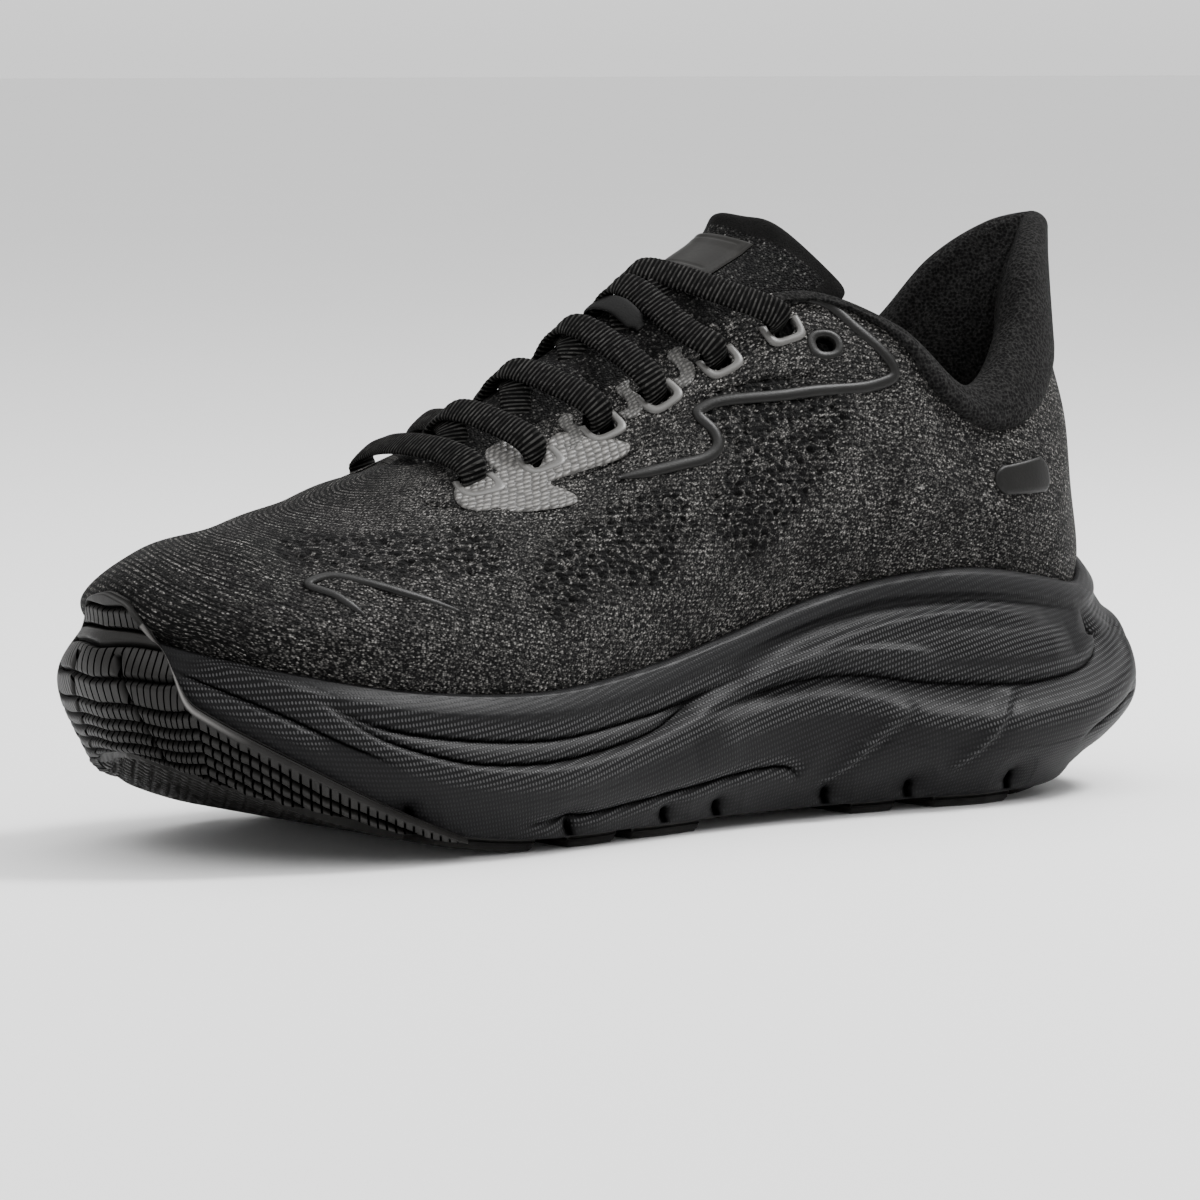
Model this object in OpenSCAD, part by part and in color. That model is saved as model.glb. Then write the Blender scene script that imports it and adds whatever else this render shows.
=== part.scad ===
// Running shoe, right foot. Toe towards -X, medial side towards -Y, standing on Z = 0.

/* [Overall size] */
// Length from the toe cap to the back of the sole
shoe_l = 305; // [290:1:320]
// Width across the ball of the foot
shoe_w = 118; // [112:1:124]
// Height of the heel tab and of the tongue
shoe_h = 145; // [140:1:150]

/* [Sole] */
// Thickness of the rubber pads under the midsole
pad_t = 3; // [2.5:0.1:3.5]
// Thickness of the rubber toe cap
cap_t = 2.4; // [2:0.1:3]
// Radius at which the sole curls up under the toes
toe_rocker_r = 190; // [180:5:220]
// Radius at which the sole curls up behind the heel
heel_rocker_r = 200; // [180:5:260]
// Thickness of the board that closes the upper
board_t = 2; // [1.5:0.1:2.2]
// Thickness of the removable insole
sockliner_t = 5; // [4:0.5:5]

/* [Upper] */
// Thickness of the knitted shell
shell_t = 3; // [2.5:0.1:3]
// Thickness of the padding in the ankle collar
collar_pad_t = 4.5; // [3:0.5:4.5]
// Radius of the rolled edge of the ankle opening
binding_r = 2.1; // [1.8:0.1:2.2]
// Radius of the lace holes
eyelet_r = 4; // [3.9:0.1:4.1]
// Thickness of the tongue below the last lace
tongue_t = 4.5; // [4:0.5:5]
// Thickness of the padded top of the tongue
tongue_pad_t = 7; // [5:0.5:7]

/* [Lace] */
// Width of the flat lace
lace_w = 6.5; // [6:0.1:6.6]
// Thickness of the lace
lace_t = 2; // [1.8:0.1:2]
// Length of the plastic tip on each end of the lace
aglet_l = 22; // [18:1:24]

/* [Hidden] */

// The tables below are drawn at this size, and are scaled to the size asked for.
drawn_size = [305, 118, 145];
size_k = [shoe_l / drawn_size[0], shoe_w / drawn_size[1], shoe_h / drawn_size[2]];
// Clearance between layers that are bonded on the real shoe.
bond_gap = 0.5;
// Stations in the closed outlines: heel, 12 along the medial side, toe, 12 along the lateral side.
STATIONS = 26;
TOE = 13;
// Columns per station in the meshes.
SUB = 2;

// Closed outline from its heel point, the medial points and lateral points (both heel to toe) and
// its toe point.
function outline(heel, medial, toe, lateral) =
    [for (p = concat([heel], medial, [toe], [for (i = [len(lateral) - 1 : -1 : 0]) lateral[i]]))
        [p[0] * size_k[0], p[1] * size_k[1], p[2] * size_k[2]]];

// Widest line of the midsole wall.
wall_line = outline([152, 2, 27],
    [[149, -18, 26], [138, -34, 25], [116, -45, 23], [88, -48, 21], [60, -46, 20], [32, -45, 19],
     [4, -47, 18], [-26, -52, 17], [-60, -57, 18], [-94, -56, 23], [-122, -47, 31], [-142, -29, 39]],
    [-150, -5, 44],
    [[149, 20, 27], [138, 35, 26], [116, 46, 24], [88, 50, 22], [60, 52, 20], [32, 54, 19],
     [4, 57, 18], [-26, 60, 17], [-60, 59, 18], [-94, 52, 23], [-122, 41, 31], [-142, 24, 39]]);
// Top edge of the midsole, where the upper comes out of it.
rim_line = outline([139, 0, 60],
    [[135, -15, 56], [123, -28, 52], [104, -35, 55], [82, -37, 58], [58, -36, 57], [32, -37, 53],
     [4, -40, 46], [-26, -45, 40], [-58, -50, 37], [-92, -49, 39], [-120, -41, 44], [-138, -24, 49]],
    [-145, -5, 53],
    [[135, 15, 57], [122, 28, 54], [104, 36, 56], [82, 39, 57], [58, 42, 55], [32, 46, 51],
     [4, 50, 46], [-26, 53, 41], [-58, 52, 38], [-92, 46, 40], [-120, 35, 45], [-138, 18, 50]]);
// Bottom edge of the midsole; its height follows the rocker.
ground_line = outline([131, 0, 0],
    [[128, -14, 0], [120, -28, 0], [104, -38, 0], [84, -42, 0], [58, -40, 0], [32, -39, 0],
     [4, -41, 0], [-26, -46, 0], [-58, -51, 0], [-90, -50, 0], [-117, -41, 0], [-135, -24, 0]],
    [-143, -5, 0],
    [[128, 15, 0], [120, 29, 0], [104, 39, 0], [84, 43, 0], [58, 46, 0], [32, 48, 0],
     [4, 51, 0], [-26, 54, 0], [-58, 53, 0], [-90, 46, 0], [-117, 35, 0], [-135, 19, 0]]);
// Rows of the upper, from just above the midsole to the edge of the opening.
upper_low = outline([137, 0, 74],
    [[134, -13, 71], [123, -27, 70], [104, -38, 71], [82, -40, 72], [58, -40, 74], [33, -40, 72],
     [5, -42, 65], [-25, -45, 57], [-57, -49, 52], [-91, -49, 52], [-120, -42, 55], [-140, -24, 58]],
    [-146, -5, 62],
    [[134, 14, 71], [123, 28, 70], [104, 39, 71], [82, 42, 72], [58, 45, 73], [33, 48, 70],
     [5, 51, 64], [-25, 53, 57], [-57, 51, 53], [-91, 45, 53], [-120, 36, 56], [-139, 18, 59]]);
upper_mid = outline([134, 0, 95],
    [[131, -12, 93], [121, -26, 90], [103, -36, 86], [82, -38, 84], [60, -38, 92], [34, -37, 92],
     [7, -38, 84], [-22, -39, 75], [-52, -40, 69], [-84, -39, 67], [-110, -32, 67], [-127, -19, 69]],
    [-133, -4, 70],
    [[131, 12, 93], [121, 26, 90], [103, 37, 86], [82, 39, 84], [60, 41, 91], [34, 43, 89],
     [7, 45, 82], [-22, 45, 75], [-52, 43, 69], [-84, 37, 67], [-110, 28, 67], [-127, 13, 69]]);
upper_high = outline([130, 0, 122],
    [[127, -9, 120], [117, -22, 112], [102, -31, 103], [83, -35, 95], [62, -34, 108], [38, -30, 110],
     [10, -29, 101], [-16, -29, 90], [-44, -28, 82], [-70, -25, 78], [-88, -18, 77], [-99, -9, 77]],
    [-103, 0, 77],
    [[127, 9, 120], [117, 22, 112], [102, 31, 103], [83, 36, 95], [62, 37, 106], [38, 34, 108],
     [10, 34, 100], [-16, 34, 90], [-44, 32, 82], [-70, 26, 78], [-88, 18, 77], [-99, 9, 77]]);
upper_edge = outline([135, 0, 143],
    [[127, -10, 141], [115, -20, 132], [103, -27, 116], [85, -32, 103], [64, -29, 118], [40, -20, 126],
     [12, -16, 116], [-12, -15, 104], [-36, -14, 95], [-54, -12, 89], [-63, -7, 87], [-66, -3, 87]],
    [-67, 0, 87],
    [[127, 10, 141], [115, 20, 132], [103, 28, 116], [85, 33, 103], [64, 30, 117], [40, 21, 125],
     [12, 17, 115], [-12, 16, 103], [-36, 15, 95], [-54, 13, 89], [-63, 8, 87], [-66, 4, 87]]);

// Height of the footbed along the shoe.
footbed_z = [[-145, 41], [-120, 33], [-95, 28], [-60, 26], [-20, 27], [20, 31], [60, 35], [140, 36]];
// The bottom is flat between these two places.
flat_front_x = -50 * size_k[0];
flat_back_x = 95 * size_k[0];

// Curves and surfaces.
function unit(v) = v / norm(v);
function lerp(a, b, t) = a + (b - a) * t;
function curve(p0, p1, p2, p3, t) =
    0.5 * (2 * p1 + (p2 - p0) * t + (2 * p0 - 5 * p1 + 4 * p2 - p3) * t * t
        + (3 * p1 - p0 - 3 * p2 + p3) * t * t * t);
function wrap(i, n) = (i % n + n) % n;
function loop_at(loop, u) = let (n = len(loop), i = floor(u))
    curve(loop[wrap(i - 1, n)], loop[wrap(i, n)], loop[wrap(i + 1, n)], loop[wrap(i + 2, n)], u - i);
function line_at(pts, v) = let (n = len(pts), i = min(max(floor(v), 0), n - 2))
    curve(i > 0 ? pts[i - 1] : 2 * pts[0] - pts[1], pts[i], pts[i + 1],
        i < n - 2 ? pts[i + 2] : 2 * pts[n - 1] - pts[n - 2], v - i);
function skin_at(rows, u, v) = line_at([for (r = rows) loop_at(r, u)], v);
function skin_du(rows, u, v) = unit(skin_at(rows, u + 0.02, v) - skin_at(rows, u - 0.02, v));
function skin_dv(rows, u, v) = unit(skin_at(rows, u, v + 0.02) - skin_at(rows, u, v - 0.02));
function skin_normal(rows, u, v) = unit(cross(skin_dv(rows, u, v), skin_du(rows, u, v)));
// A point d outside the surface.
function skin_off(rows, u, v, d) = skin_at(rows, u, v) + skin_normal(rows, u, v) * d;
function steps(a, b, n) = [for (i = [0 : n]) lerp(a, b, i / n)];

// Height of the midsole's underside.
function rocker(x) = pad_t
    + (x < flat_front_x ? toe_rocker_r - sqrt(pow(toe_rocker_r, 2) - pow(x - flat_front_x, 2)) : 0)
    + (x > flat_back_x ? heel_rocker_r - sqrt(pow(heel_rocker_r, 2) - pow(x - flat_back_x, 2)) : 0);
function bed(x) = lookup(x / size_k[0], footbed_z) * size_k[2];
function at_height(loop, z) = [for (p = loop) [p[0], p[1], z]];
// The outline moved inwards, seen from above.
function inset(loop, d) = let (n = len(loop)) [for (i = [0 : n - 1])
    let (t = unit((loop[wrap(i + 1, n)] - loop[wrap(i - 1, n)]) - [0, 0, 1]
        * (loop[wrap(i + 1, n)] - loop[wrap(i - 1, n)])[2])) loop[i] + [t[1], -t[0], 0] * d];
function dense(loop) = [for (k = [0 : STATIONS * SUB - 1]) loop_at(loop, k / SUB)];
// Line along the middle of a closed outline, between its two ends.
function spine(loop) = let (n = len(loop)) [for (i = [1 : n / 2 - 1]) (loop[i] + loop[n - i]) / 2];
function spine_index(i, n) = let (k = wrap(i, n)) k == 0 ? 0 : k < n / 2 ? k - 1 : k == n / 2 ? n / 2 - 2 : n - k - 1;
// The outline shrunk towards its own spine.
function shrink(loop, f) = let (n = len(loop), s = spine(loop)) [for (i = [0 : n - 1]) lerp(loop[i], s[spine_index(i, n)], f)];

ground_loop = [for (p = dense(ground_line)) [p[0], p[1], rocker(p[0])]];
wall_rows = [ground_line, wall_line, rim_line];

// Solids from grids of points.
function quad(a, b, c, d) = [[a, b, c], [a, c, d]];
function flatten(l) = [for (a = l) for (b = a) b];

// Rows of closed outlines, bottom row first and top row last, each end closed along its spine.
module capped_skin(rows) {
    n = len(rows[0]);
    m = len(rows);
    low = n * m;
    high = low + n / 2 - 1;
    side = [for (r = [0 : m - 2]) for (i = [0 : n - 1]) let (j = wrap(i + 1, n))
        quad(r * n + i, r * n + j, (r + 1) * n + j, (r + 1) * n + i)];
    caps = [for (i = [0 : n - 1]) let (j = wrap(i + 1, n), a = spine_index(i, n), b = spine_index(j, n))
        concat([[i, low + b, j], [(m - 1) * n + i, (m - 1) * n + j, high + b]],
            a == b ? [] : [[i, low + a, low + b], [(m - 1) * n + i, high + b, high + a]])];
    polyhedron(concat(flatten(rows), spine(rows[0]), spine(rows[m - 1])), concat(flatten(side), flatten(caps)));
}

// Rows of closed outlines whose last row joins the first, like a tyre.
module ring_skin(rows) {
    n = len(rows[0]);
    m = len(rows);
    polyhedron(flatten(rows), [for (r = [0 : m - 1]) for (i = [0 : n - 1])
        let (j = wrap(i + 1, n), s = wrap(r + 1, m))
        for (f = quad(r * n + i, r * n + j, s * n + j, s * n + i)) f]);
}

// A sheet between two grids of points with the same numbers of rows and columns.
module slab(outer, inner) {
    n = len(outer[0]);
    m = len(outer);
    k = n * m;
    face = [for (r = [0 : m - 2]) for (i = [0 : n - 2]) [r * n + i, (r + 1) * n + i, (r + 1) * n + i + 1, r * n + i + 1]];
    ends = [for (i = [0 : n - 2]) for (q = [[i, i + 1, k + i + 1, k + i],
        [(m - 1) * n + i + 1, (m - 1) * n + i, k + (m - 1) * n + i, k + (m - 1) * n + i + 1]]) q];
    sides = [for (r = [0 : m - 2]) for (q = [[(r + 1) * n, r * n, k + r * n, k + (r + 1) * n],
        [r * n + n - 1, (r + 1) * n + n - 1, k + (r + 1) * n + n - 1, k + r * n + n - 1]]) q];
    quads = concat(face, [for (q = face) [q[3] + k, q[2] + k, q[1] + k, q[0] + k]], ends, sides);
    polyhedron(concat(flatten(outer), flatten(inner)), [for (q = quads) for (f = quad(q[0], q[1], q[2], q[3])) f]);
}

// A patch on a surface: columns us; its rows run from v_low(u) to v_high(u), given as lists per column.
module patch(rows, us, v_low, v_high, n_rows, d_out, d_in) {
    function grid(d) = [for (k = [0 : len(us) - 1]) [for (v = steps(v_low[k], v_high[k], n_rows)) skin_off(rows, us[k], v, d)]];
    slab(grid(d_out), grid(d_in));
}

// A round bead along a path of [u, v] on a surface, centred d outside it.
module bead(rows, path, d, r, per = 2) {
    line = [for (t = [0 : 1 / per : len(path) - 1]) line_at(path, t)];
    pts = [for (q = line) skin_off(rows, q[0], q[1], d)];
    sides = [for (q = line) skin_dv(rows, q[0], q[1]) + skin_du(rows, q[0], q[1]) * 0.3];
    sweep(pts, sides, r, r, 8);
}

// A tube of n sides along points, with half-width a towards the given sides and half-thickness b.
module sweep(pts, sides, a, b, n) {
    m = len(pts);
    tangents = [for (i = [0 : m - 1]) unit(pts[min(i + 1, m - 1)] - pts[max(i - 1, 0)])];
    across = [for (i = [0 : m - 1]) unit(sides[i] - tangents[i] * (sides[i] * tangents[i]))];
    over = [for (i = [0 : m - 1]) cross(across[i], tangents[i])];
    rings = [for (i = [0 : m - 1]) for (k = [0 : n - 1])
        pts[i] + across[i] * a * cos(360 * (k + 0.5) / n) + over[i] * b * sin(360 * (k + 0.5) / n)];
    side = [for (i = [0 : m - 2]) for (k = [0 : n - 1]) let (j = wrap(k + 1, n))
        for (f = quad(i * n + k, i * n + j, (i + 1) * n + j, (i + 1) * n + k)) f];
    caps = [[for (k = [n - 1 : -1 : 0]) k], [for (k = [0 : n - 1]) (m - 1) * n + k]];
    polyhedron(rings, concat(side, caps));
}

// Puts a flat child on a surface: its X along the surface's u, its Y up the surface, its Z outwards.
module on_skin(rows, u, v, d = 0) {
    x = skin_du(rows, u, v);
    z = skin_normal(rows, u, v);
    y = cross(z, x);
    o = skin_at(rows, u, v) + z * d;
    multmatrix([[x[0], y[0], z[0], o[0]], [x[1], y[1], z[1], o[1]], [x[2], y[2], z[2], o[2]], [0, 0, 0, 1]])
        children();
}

// ---- Sole ----

rim_loop = dense(rim_line);
// Width of the foam's top edge, and how far inside the rim the footbed and the upper's foot lie.
rim_w = 0.8;
bed_inset = 5;
bite_inset = 5.4;
bite_rise = 2.8;

module midsole() {
    wall = [for (v = [1/3 : 1/3 : 2.01]) [for (k = [0 : STATIONS * SUB - 1]) wall_at(k / SUB, v)]];
    inner = inset(rim_loop, rim_w);
    floor_edge = [for (p = inset(rim_loop, bed_inset)) [p[0], p[1], bed(p[0])]];
    color("#333336") capped_skin(concat([shrink(ground_loop, 0.5), ground_loop], wall,
        [inner, floor_edge, [for (p = shrink(floor_edge, 0.5)) [p[0], p[1], bed(p[0])]]]));
}

// The wall's own surface: its bottom row follows the rocker.
function wall_at(u, v) = let (g = loop_at(ground_line, u))
    line_at([[g[0], g[1], rocker(g[0])], loop_at(wall_line, u), loop_at(rim_line, u)], v);

// Toe cap: follows the wall, then the foot of the upper.
cap_reach = 2.7;
cap_gap = 1;
// How far up the cap reaches, by distance from the toe station: a narrow tab in front, low at the sides.
cap_top = [[0, 2.7], [0.4, 2.6], [0.65, 1.9], [0.9, 1.35], [1.05, 0.95], [1.4, 0.78], [2, 0.55], [3, 0.3]];
module outsole_toe_cap() {
    us = steps(TOE - cap_reach, TOE + cap_reach, 24);
    tops = [for (u = us) lookup(abs(u - TOE), cap_top)];
    function cap_at(u, v) = let (g = loop_at(ground_line, u))
        line_at([[g[0], g[1], rocker(g[0])], loop_at(wall_line, u), loop_at(rim_line, u),
            loop_at(upper_low, u)], v);
    function cap_off(u, v, d) = cap_at(u, v) + unit(cross(cap_at(u, v + 0.02) - cap_at(u, v - 0.02),
        cap_at(u + 0.02, v) - cap_at(u - 0.02, v))) * d;
    function grid(d) = [for (k = [0 : 24]) [for (v = steps(0.12, tops[k], 8)) cap_off(us[k], v, d)]];
    color("#2a2928") slab(grid(cap_gap + cap_t), grid(cap_gap));
}

// Distance of the bottom edge from the middle plane on each side.
function edge_y(x, side) = lookup(x, [for (i = [0 : TOE])
    let (p = ground_line[side < 0 ? i : wrap(-i, STATIONS)]) [p[0], p[1]]]);

// A rubber pad that follows the rocker. It covers part f0 to f1 of the width, 0 being medial.
pad_gap = 0.25;
module rocker_pad(x0, x1, f0, f1) {
    xs = steps(x0, x1, 6) * size_k[0];
    function grid(d) = [for (x = xs) [for (f = steps(f0, f1, 4)) [x, lerp(edge_y(x, -1), edge_y(x, 1), f), rocker(x) - d]]];
    color("#2b2a29") slab(grid(pad_t), grid(pad_gap));
}

// A flat rubber pad on the ground, with its corners cut off.
module flat_pad(x0, x1, f0, f1, cut = 4) {
    a = x0 * size_k[0];
    b = x1 * size_k[0];
    function y(x, f) = lerp(edge_y(x, -1), edge_y(x, 1), f);
    color("#2b2a29") linear_extrude(height = pad_t - pad_gap)
        polygon([[a, y(a, f0) + cut], [a + cut, y(a + cut, f0)], [b - cut, y(b - cut, f0)], [b, y(b, f0) + cut],
            [b, y(b, f1) - cut], [b - cut, y(b - cut, f1)], [a + cut, y(a + cut, f1)], [a, y(a, f1) - cut]]);
}

module outsole_front_tread() rocker_pad(-134, -92, 0.06, 0.94);
module pad_fore_medial_1() rocker_pad(-88, -58, 0.03, 0.45);
module pad_fore_lateral_1() rocker_pad(-88, -58, 0.55, 0.97);
module pad_fore_medial_2() flat_pad(-49, -32, 0.03, 0.45);
module pad_fore_lateral_2() flat_pad(-49, -32, 0.55, 0.97);
module pad_fore_medial_3() flat_pad(-28, -4, 0.03, 0.4);
module pad_fore_lateral_3() flat_pad(-28, -4, 0.6, 0.97);
module pad_mid_medial() flat_pad(44, 58, 0.04, 0.3);
module pad_heel_medial() flat_pad(68, 94, 0.03, 0.4);
module pad_heel_lateral() flat_pad(60, 94, 0.6, 0.97);
module pad_heel_rear() rocker_pad(98, 126, 0.12, 0.88);

// ---- Inside the shoe ----

// A flat piece on the footbed, t thick, its underside h above the foam.
module bed_piece(edge_inset, h, t) {
    function row(d, f) = [for (p = shrink(inset(rim_loop, edge_inset), f)) [p[0], p[1], bed(p[0]) + h + d]];
    capped_skin([row(0, 0.5), row(0, 0), row(t, 0), row(t, 0.5)]);
}
board_gap = 0.3;
module strobel_board() color("#8d8a80") bed_piece(bite_inset + shell_t + 0.8, board_gap, board_t);
module sockliner() color("#1d1c1d") bed_piece(bite_inset + shell_t + 1.6, board_gap * 2 + board_t, sockliner_t);

// ---- Upper ----

// Foot of the upper, tucked inside the rim, and the line where it comes out.
bite_row = [for (p = inset(rim_line, bite_inset)) [p[0], p[1], bed(p[0]) + bite_rise]];
exit_row = inset(rim_line, rim_w + 0.6);
shoe_rows = [bite_row, exit_row, upper_low, upper_mid, upper_high, upper_edge];
V_EDGE = 5;
// The ankle opening reaches this many stations to each side of the heel.
COLLAR = 5.3;
// Distance from the heel station, going either way round.
function from_heel(u) = let (k = wrap(u, STATIONS)) min(k, STATIONS - k);
// How much v a distance d down from the edge takes.
function edge_v(u, d) = 0.3 * d / norm(skin_at(shoe_rows, u, V_EDGE) - skin_at(shoe_rows, u, V_EDGE - 0.3));
// In the collar the shell stops short, to leave room for the rolled edge.
roll_gap = 1.6;
function shell_top(u) = V_EDGE - edge_v(u, 2 * binding_r + roll_gap) * min(1, max(0, (COLLAR + 0.5 - from_heel(u)) / 0.5));

module upper_shell() {
    us = [for (k = [0 : STATIONS * SUB - 1]) k / SUB];
    // Height fractions of the rows, closer together near the edge.
    fs = [0, 0.1, 0.2, 0.3, 0.4, 0.5, 0.6, 0.7, 0.8, 0.87, 0.94, 1];
    function row(f, d) = [for (u = us) skin_off(shoe_rows, u, f * shell_top(u), d)];
    color("#1c1b1b") difference() {
        ring_skin(concat([for (f = fs) row(f, 0)], [for (i = [len(fs) - 1 : -1 : 0]) row(fs[i], -shell_t)]));
        eyelet_holes(MEDIAL);
        eyelet_holes(LATERAL);
    }
}

toe_puff_t = 1;
module toe_puff() {
    us = steps(TOE - 2.5, TOE + 2.5, 10);
    color("#b9b4a6") patch(shoe_rows, us, [for (u = us) 1.2], [for (u = us) 3 - 0.12 * pow(u - TOE, 2)], 5,
        -shell_t - bond_gap, -shell_t - bond_gap - toe_puff_t);
}

counter_t = 1.5;
counter_top = 2.9;
module heel_counter() {
    us = steps(-3.5, 3.5, 14);
    color("#c7c2b4") patch(shoe_rows, us, [for (u = us) 1.2], [for (u = us) counter_top - 0.06 * pow(u, 2)], 5,
        -shell_t - bond_gap, -shell_t - bond_gap - counter_t);
}

// Depth of the padding: full in the middle of the collar, thin at its top and bottom.
foam_bottom = 3.1;
foam_top = 4.6;
function foam_depth(v) = 0.6 + (collar_pad_t - 0.6) * pow(max(0, sin(180 * min(1, max(0, (v - foam_bottom) / (foam_top - foam_bottom))))), 0.7);
module collar_foam() {
    us = steps(-COLLAR + 0.3, COLLAR - 0.3, 20);
    function grid(k) = [for (u = us) [for (v = steps(foam_bottom, foam_top, 6))
        skin_off(shoe_rows, u, v, -shell_t - bond_gap - k * foam_depth(v))]];
    color("#d8d2bd") slab(grid(0), grid(1));
}

lining_t = 1;
module collar_lining() {
    us = steps(-COLLAR + 0.3, COLLAR - 0.3, 20);
    // Clears the counter below and the padding above.
    function depth(v) = shell_t + 2 * bond_gap + 0.2 + max(foam_depth(v), v < foam_bottom ? counter_t : 0);
    function grid(k) = [for (u = us) [for (v = steps(1.5, shell_top(u) - 0.05, 12)) skin_off(shoe_rows, u, v, -depth(v) - k * lining_t)]];
    color("#141314") slab(grid(0), grid(1));
}

module topline_binding() {
    path = steps(-COLLAR + 0.1, COLLAR - 0.1, 32);
    // Centre of the roll: below the very edge by its radius, and in the middle of the shell.
    pts = [for (u = path) skin_at(shoe_rows, u, V_EDGE) - skin_dv(shoe_rows, u, V_EDGE - 0.02) * (binding_r + 0.2)
        - skin_normal(shoe_rows, u, V_EDGE) * shell_t / 2];
    color("#19191a") sweep(pts, [for (u = path) skin_normal(shoe_rows, u, V_EDGE)], binding_r, binding_r, 8);
}

// ---- Lacing hardware ----

MEDIAL = -1;
LATERAL = 1;
// Position round the shoe on one side, s stations from the heel.
function around(s, side) = side < 0 ? s : STATIONS - s;
// Eyelets from the toe end, as [stations from the heel, height on the surface].
eyelets = [[9.65, 4.4], [8.95, 4.5], [8.25, 4.6], [7.6, 4.58], [6.9, 4.56], [6.25, 4.58]];
spare_eyelet = [5.86, 4.18];
stay_t = 0.8;

module eyelet_holes(side) {
    for (e = concat(eyelets, [spare_eyelet]))
        on_skin(shoe_rows, around(e[0], side), e[1], -shell_t - 4)
            cylinder(h = shell_t + 9, r = eyelet_r, $fn = 10);
}

// The reinforced band round the eyelets, inside the quarter bead: stations, and its lower and upper edge.
stay_s = steps(5.6, 10.4, 16);
stay_low = [[5.6, 3.95], [7, 4.1], [8, 4], [9.6, 3.95], [10.4, 4.2]];
stay_high = [[5.6, 4.25], [5.8, 4.5], [6.1, 4.7], [6.3, 4.76], [6.5, 4.97], [10.4, 4.97]];
module eyestay(side) {
    ss = side < 0 ? stay_s : [for (i = [len(stay_s) - 1 : -1 : 0]) stay_s[i]];
    color("#232222") difference() {
        patch(shoe_rows, [for (s = ss) around(s, side)], [for (s = ss) lookup(s, stay_low)],
            [for (s = ss) lookup(s, stay_high)], 5, bond_gap + stay_t, bond_gap);
        eyelet_holes(side);
    }
}
module eyestay_medial() eyestay(MEDIAL);
module eyestay_lateral() eyestay(LATERAL);

rim_ring_w = 1.3;
rim_ring_t = 0.7;
module eyelet_rims(side) {
    for (e = concat(eyelets, [spare_eyelet]))
        on_skin(shoe_rows, around(e[0], side), e[1], bond_gap * 2 + stay_t)
            color("#8f8b85") linear_extrude(height = rim_ring_t) difference() {
                circle(r = eyelet_r + rim_ring_w, $fn = 32);
                circle(r = eyelet_r, $fn = 32);
                // The laced ones are open towards the tongue.
                if (e != spare_eyelet) translate([-10, 1]) square([20, 10]);
            }
}
module eyelet_rims_medial() eyelet_rims(MEDIAL);
module eyelet_rims_lateral() eyelet_rims(LATERAL);

tab_size = [4, 3];
module edge_tabs(side) {
    for (i = [1 : 4])
        on_skin(shoe_rows, around((eyelets[i][0] + eyelets[i + 1][0]) / 2, side), 4.86, bond_gap * 2 + stay_t)
            color("#8f8b85") linear_extrude(height = rim_ring_t)
                translate(-tab_size / 2) square(tab_size);
}
module edge_tabs_medial() edge_tabs(MEDIAL);
module edge_tabs_lateral() edge_tabs(LATERAL);

overlay_t = 0.6;
module vamp_overlay(side) {
    ss = side < 0 ? steps(8.3, 9.8, 6) : steps(9.8, 8.3, 6);
    us = [for (s = ss) around(s, side)];
    color("#9a968f") patch(shoe_rows, us, [for (s = ss) 3.6], [for (s = ss) 3.9], 3, bond_gap + overlay_t, bond_gap);
}
module vamp_overlay_medial() vamp_overlay(MEDIAL);
module vamp_overlay_lateral() vamp_overlay(LATERAL);

// ---- Raised lines and badges on the upper ----

bead_r = 1.1;
bead_lift = 1.7;
function side_path(path, side) = [for (p = path) [around(p[0], side), p[1]]];
quarter_path = [[6.15, 4.88], [5.95, 4.9], [5.7, 4.8], [5.5, 4.5], [5.25, 4.15], [5.12, 3.88], [5.2, 3.68], [5.6, 3.54],
    [6.3, 3.64], [6.95, 3.96], [7.2, 4.02], [7.26, 3.95], [7.14, 3.64], [7.14, 3.42], [7.3, 3.37], [7.6, 3.48], [8.2, 3.7]];
module quarter_bead_medial() color("#3a3833") bead(shoe_rows, side_path(quarter_path, MEDIAL), bead_lift, bead_r);
module quarter_bead_lateral() color("#3a3833") bead(shoe_rows, side_path(quarter_path, LATERAL), bead_lift, bead_r);

toe_path = [[10.48, 2.28], [10.72, 2.56], [10.97, 2.72], [10.8, 2.87], [10.5, 2.78], [10.1, 2.57], [9.7, 2.32]];
module toe_bead_medial() color("#2b2a28") bead(shoe_rows, side_path(toe_path, MEDIAL), bead_lift, bead_r);
module toe_bead_lateral() color("#2b2a28") bead(shoe_rows, side_path(toe_path, LATERAL), bead_lift, bead_r);

badge_size = [20, 8];
badge_t = 0.8;
module heel_badge(side) {
    on_skin(shoe_rows, around(3.3, side), 2.6, bond_gap + 0.6) color("#2f2e2c") linear_extrude(height = badge_t) {
        square([badge_size[0] - badge_size[1], badge_size[1]], center = true);
        for (s = [-1, 1]) translate([s * (badge_size[0] - badge_size[1]) / 2, 0]) circle(d = badge_size[1], $fn = 32);
    }
}
module heel_badge_medial() heel_badge(MEDIAL);
module heel_badge_lateral() heel_badge(LATERAL);

// ---- Tongue ----

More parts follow.
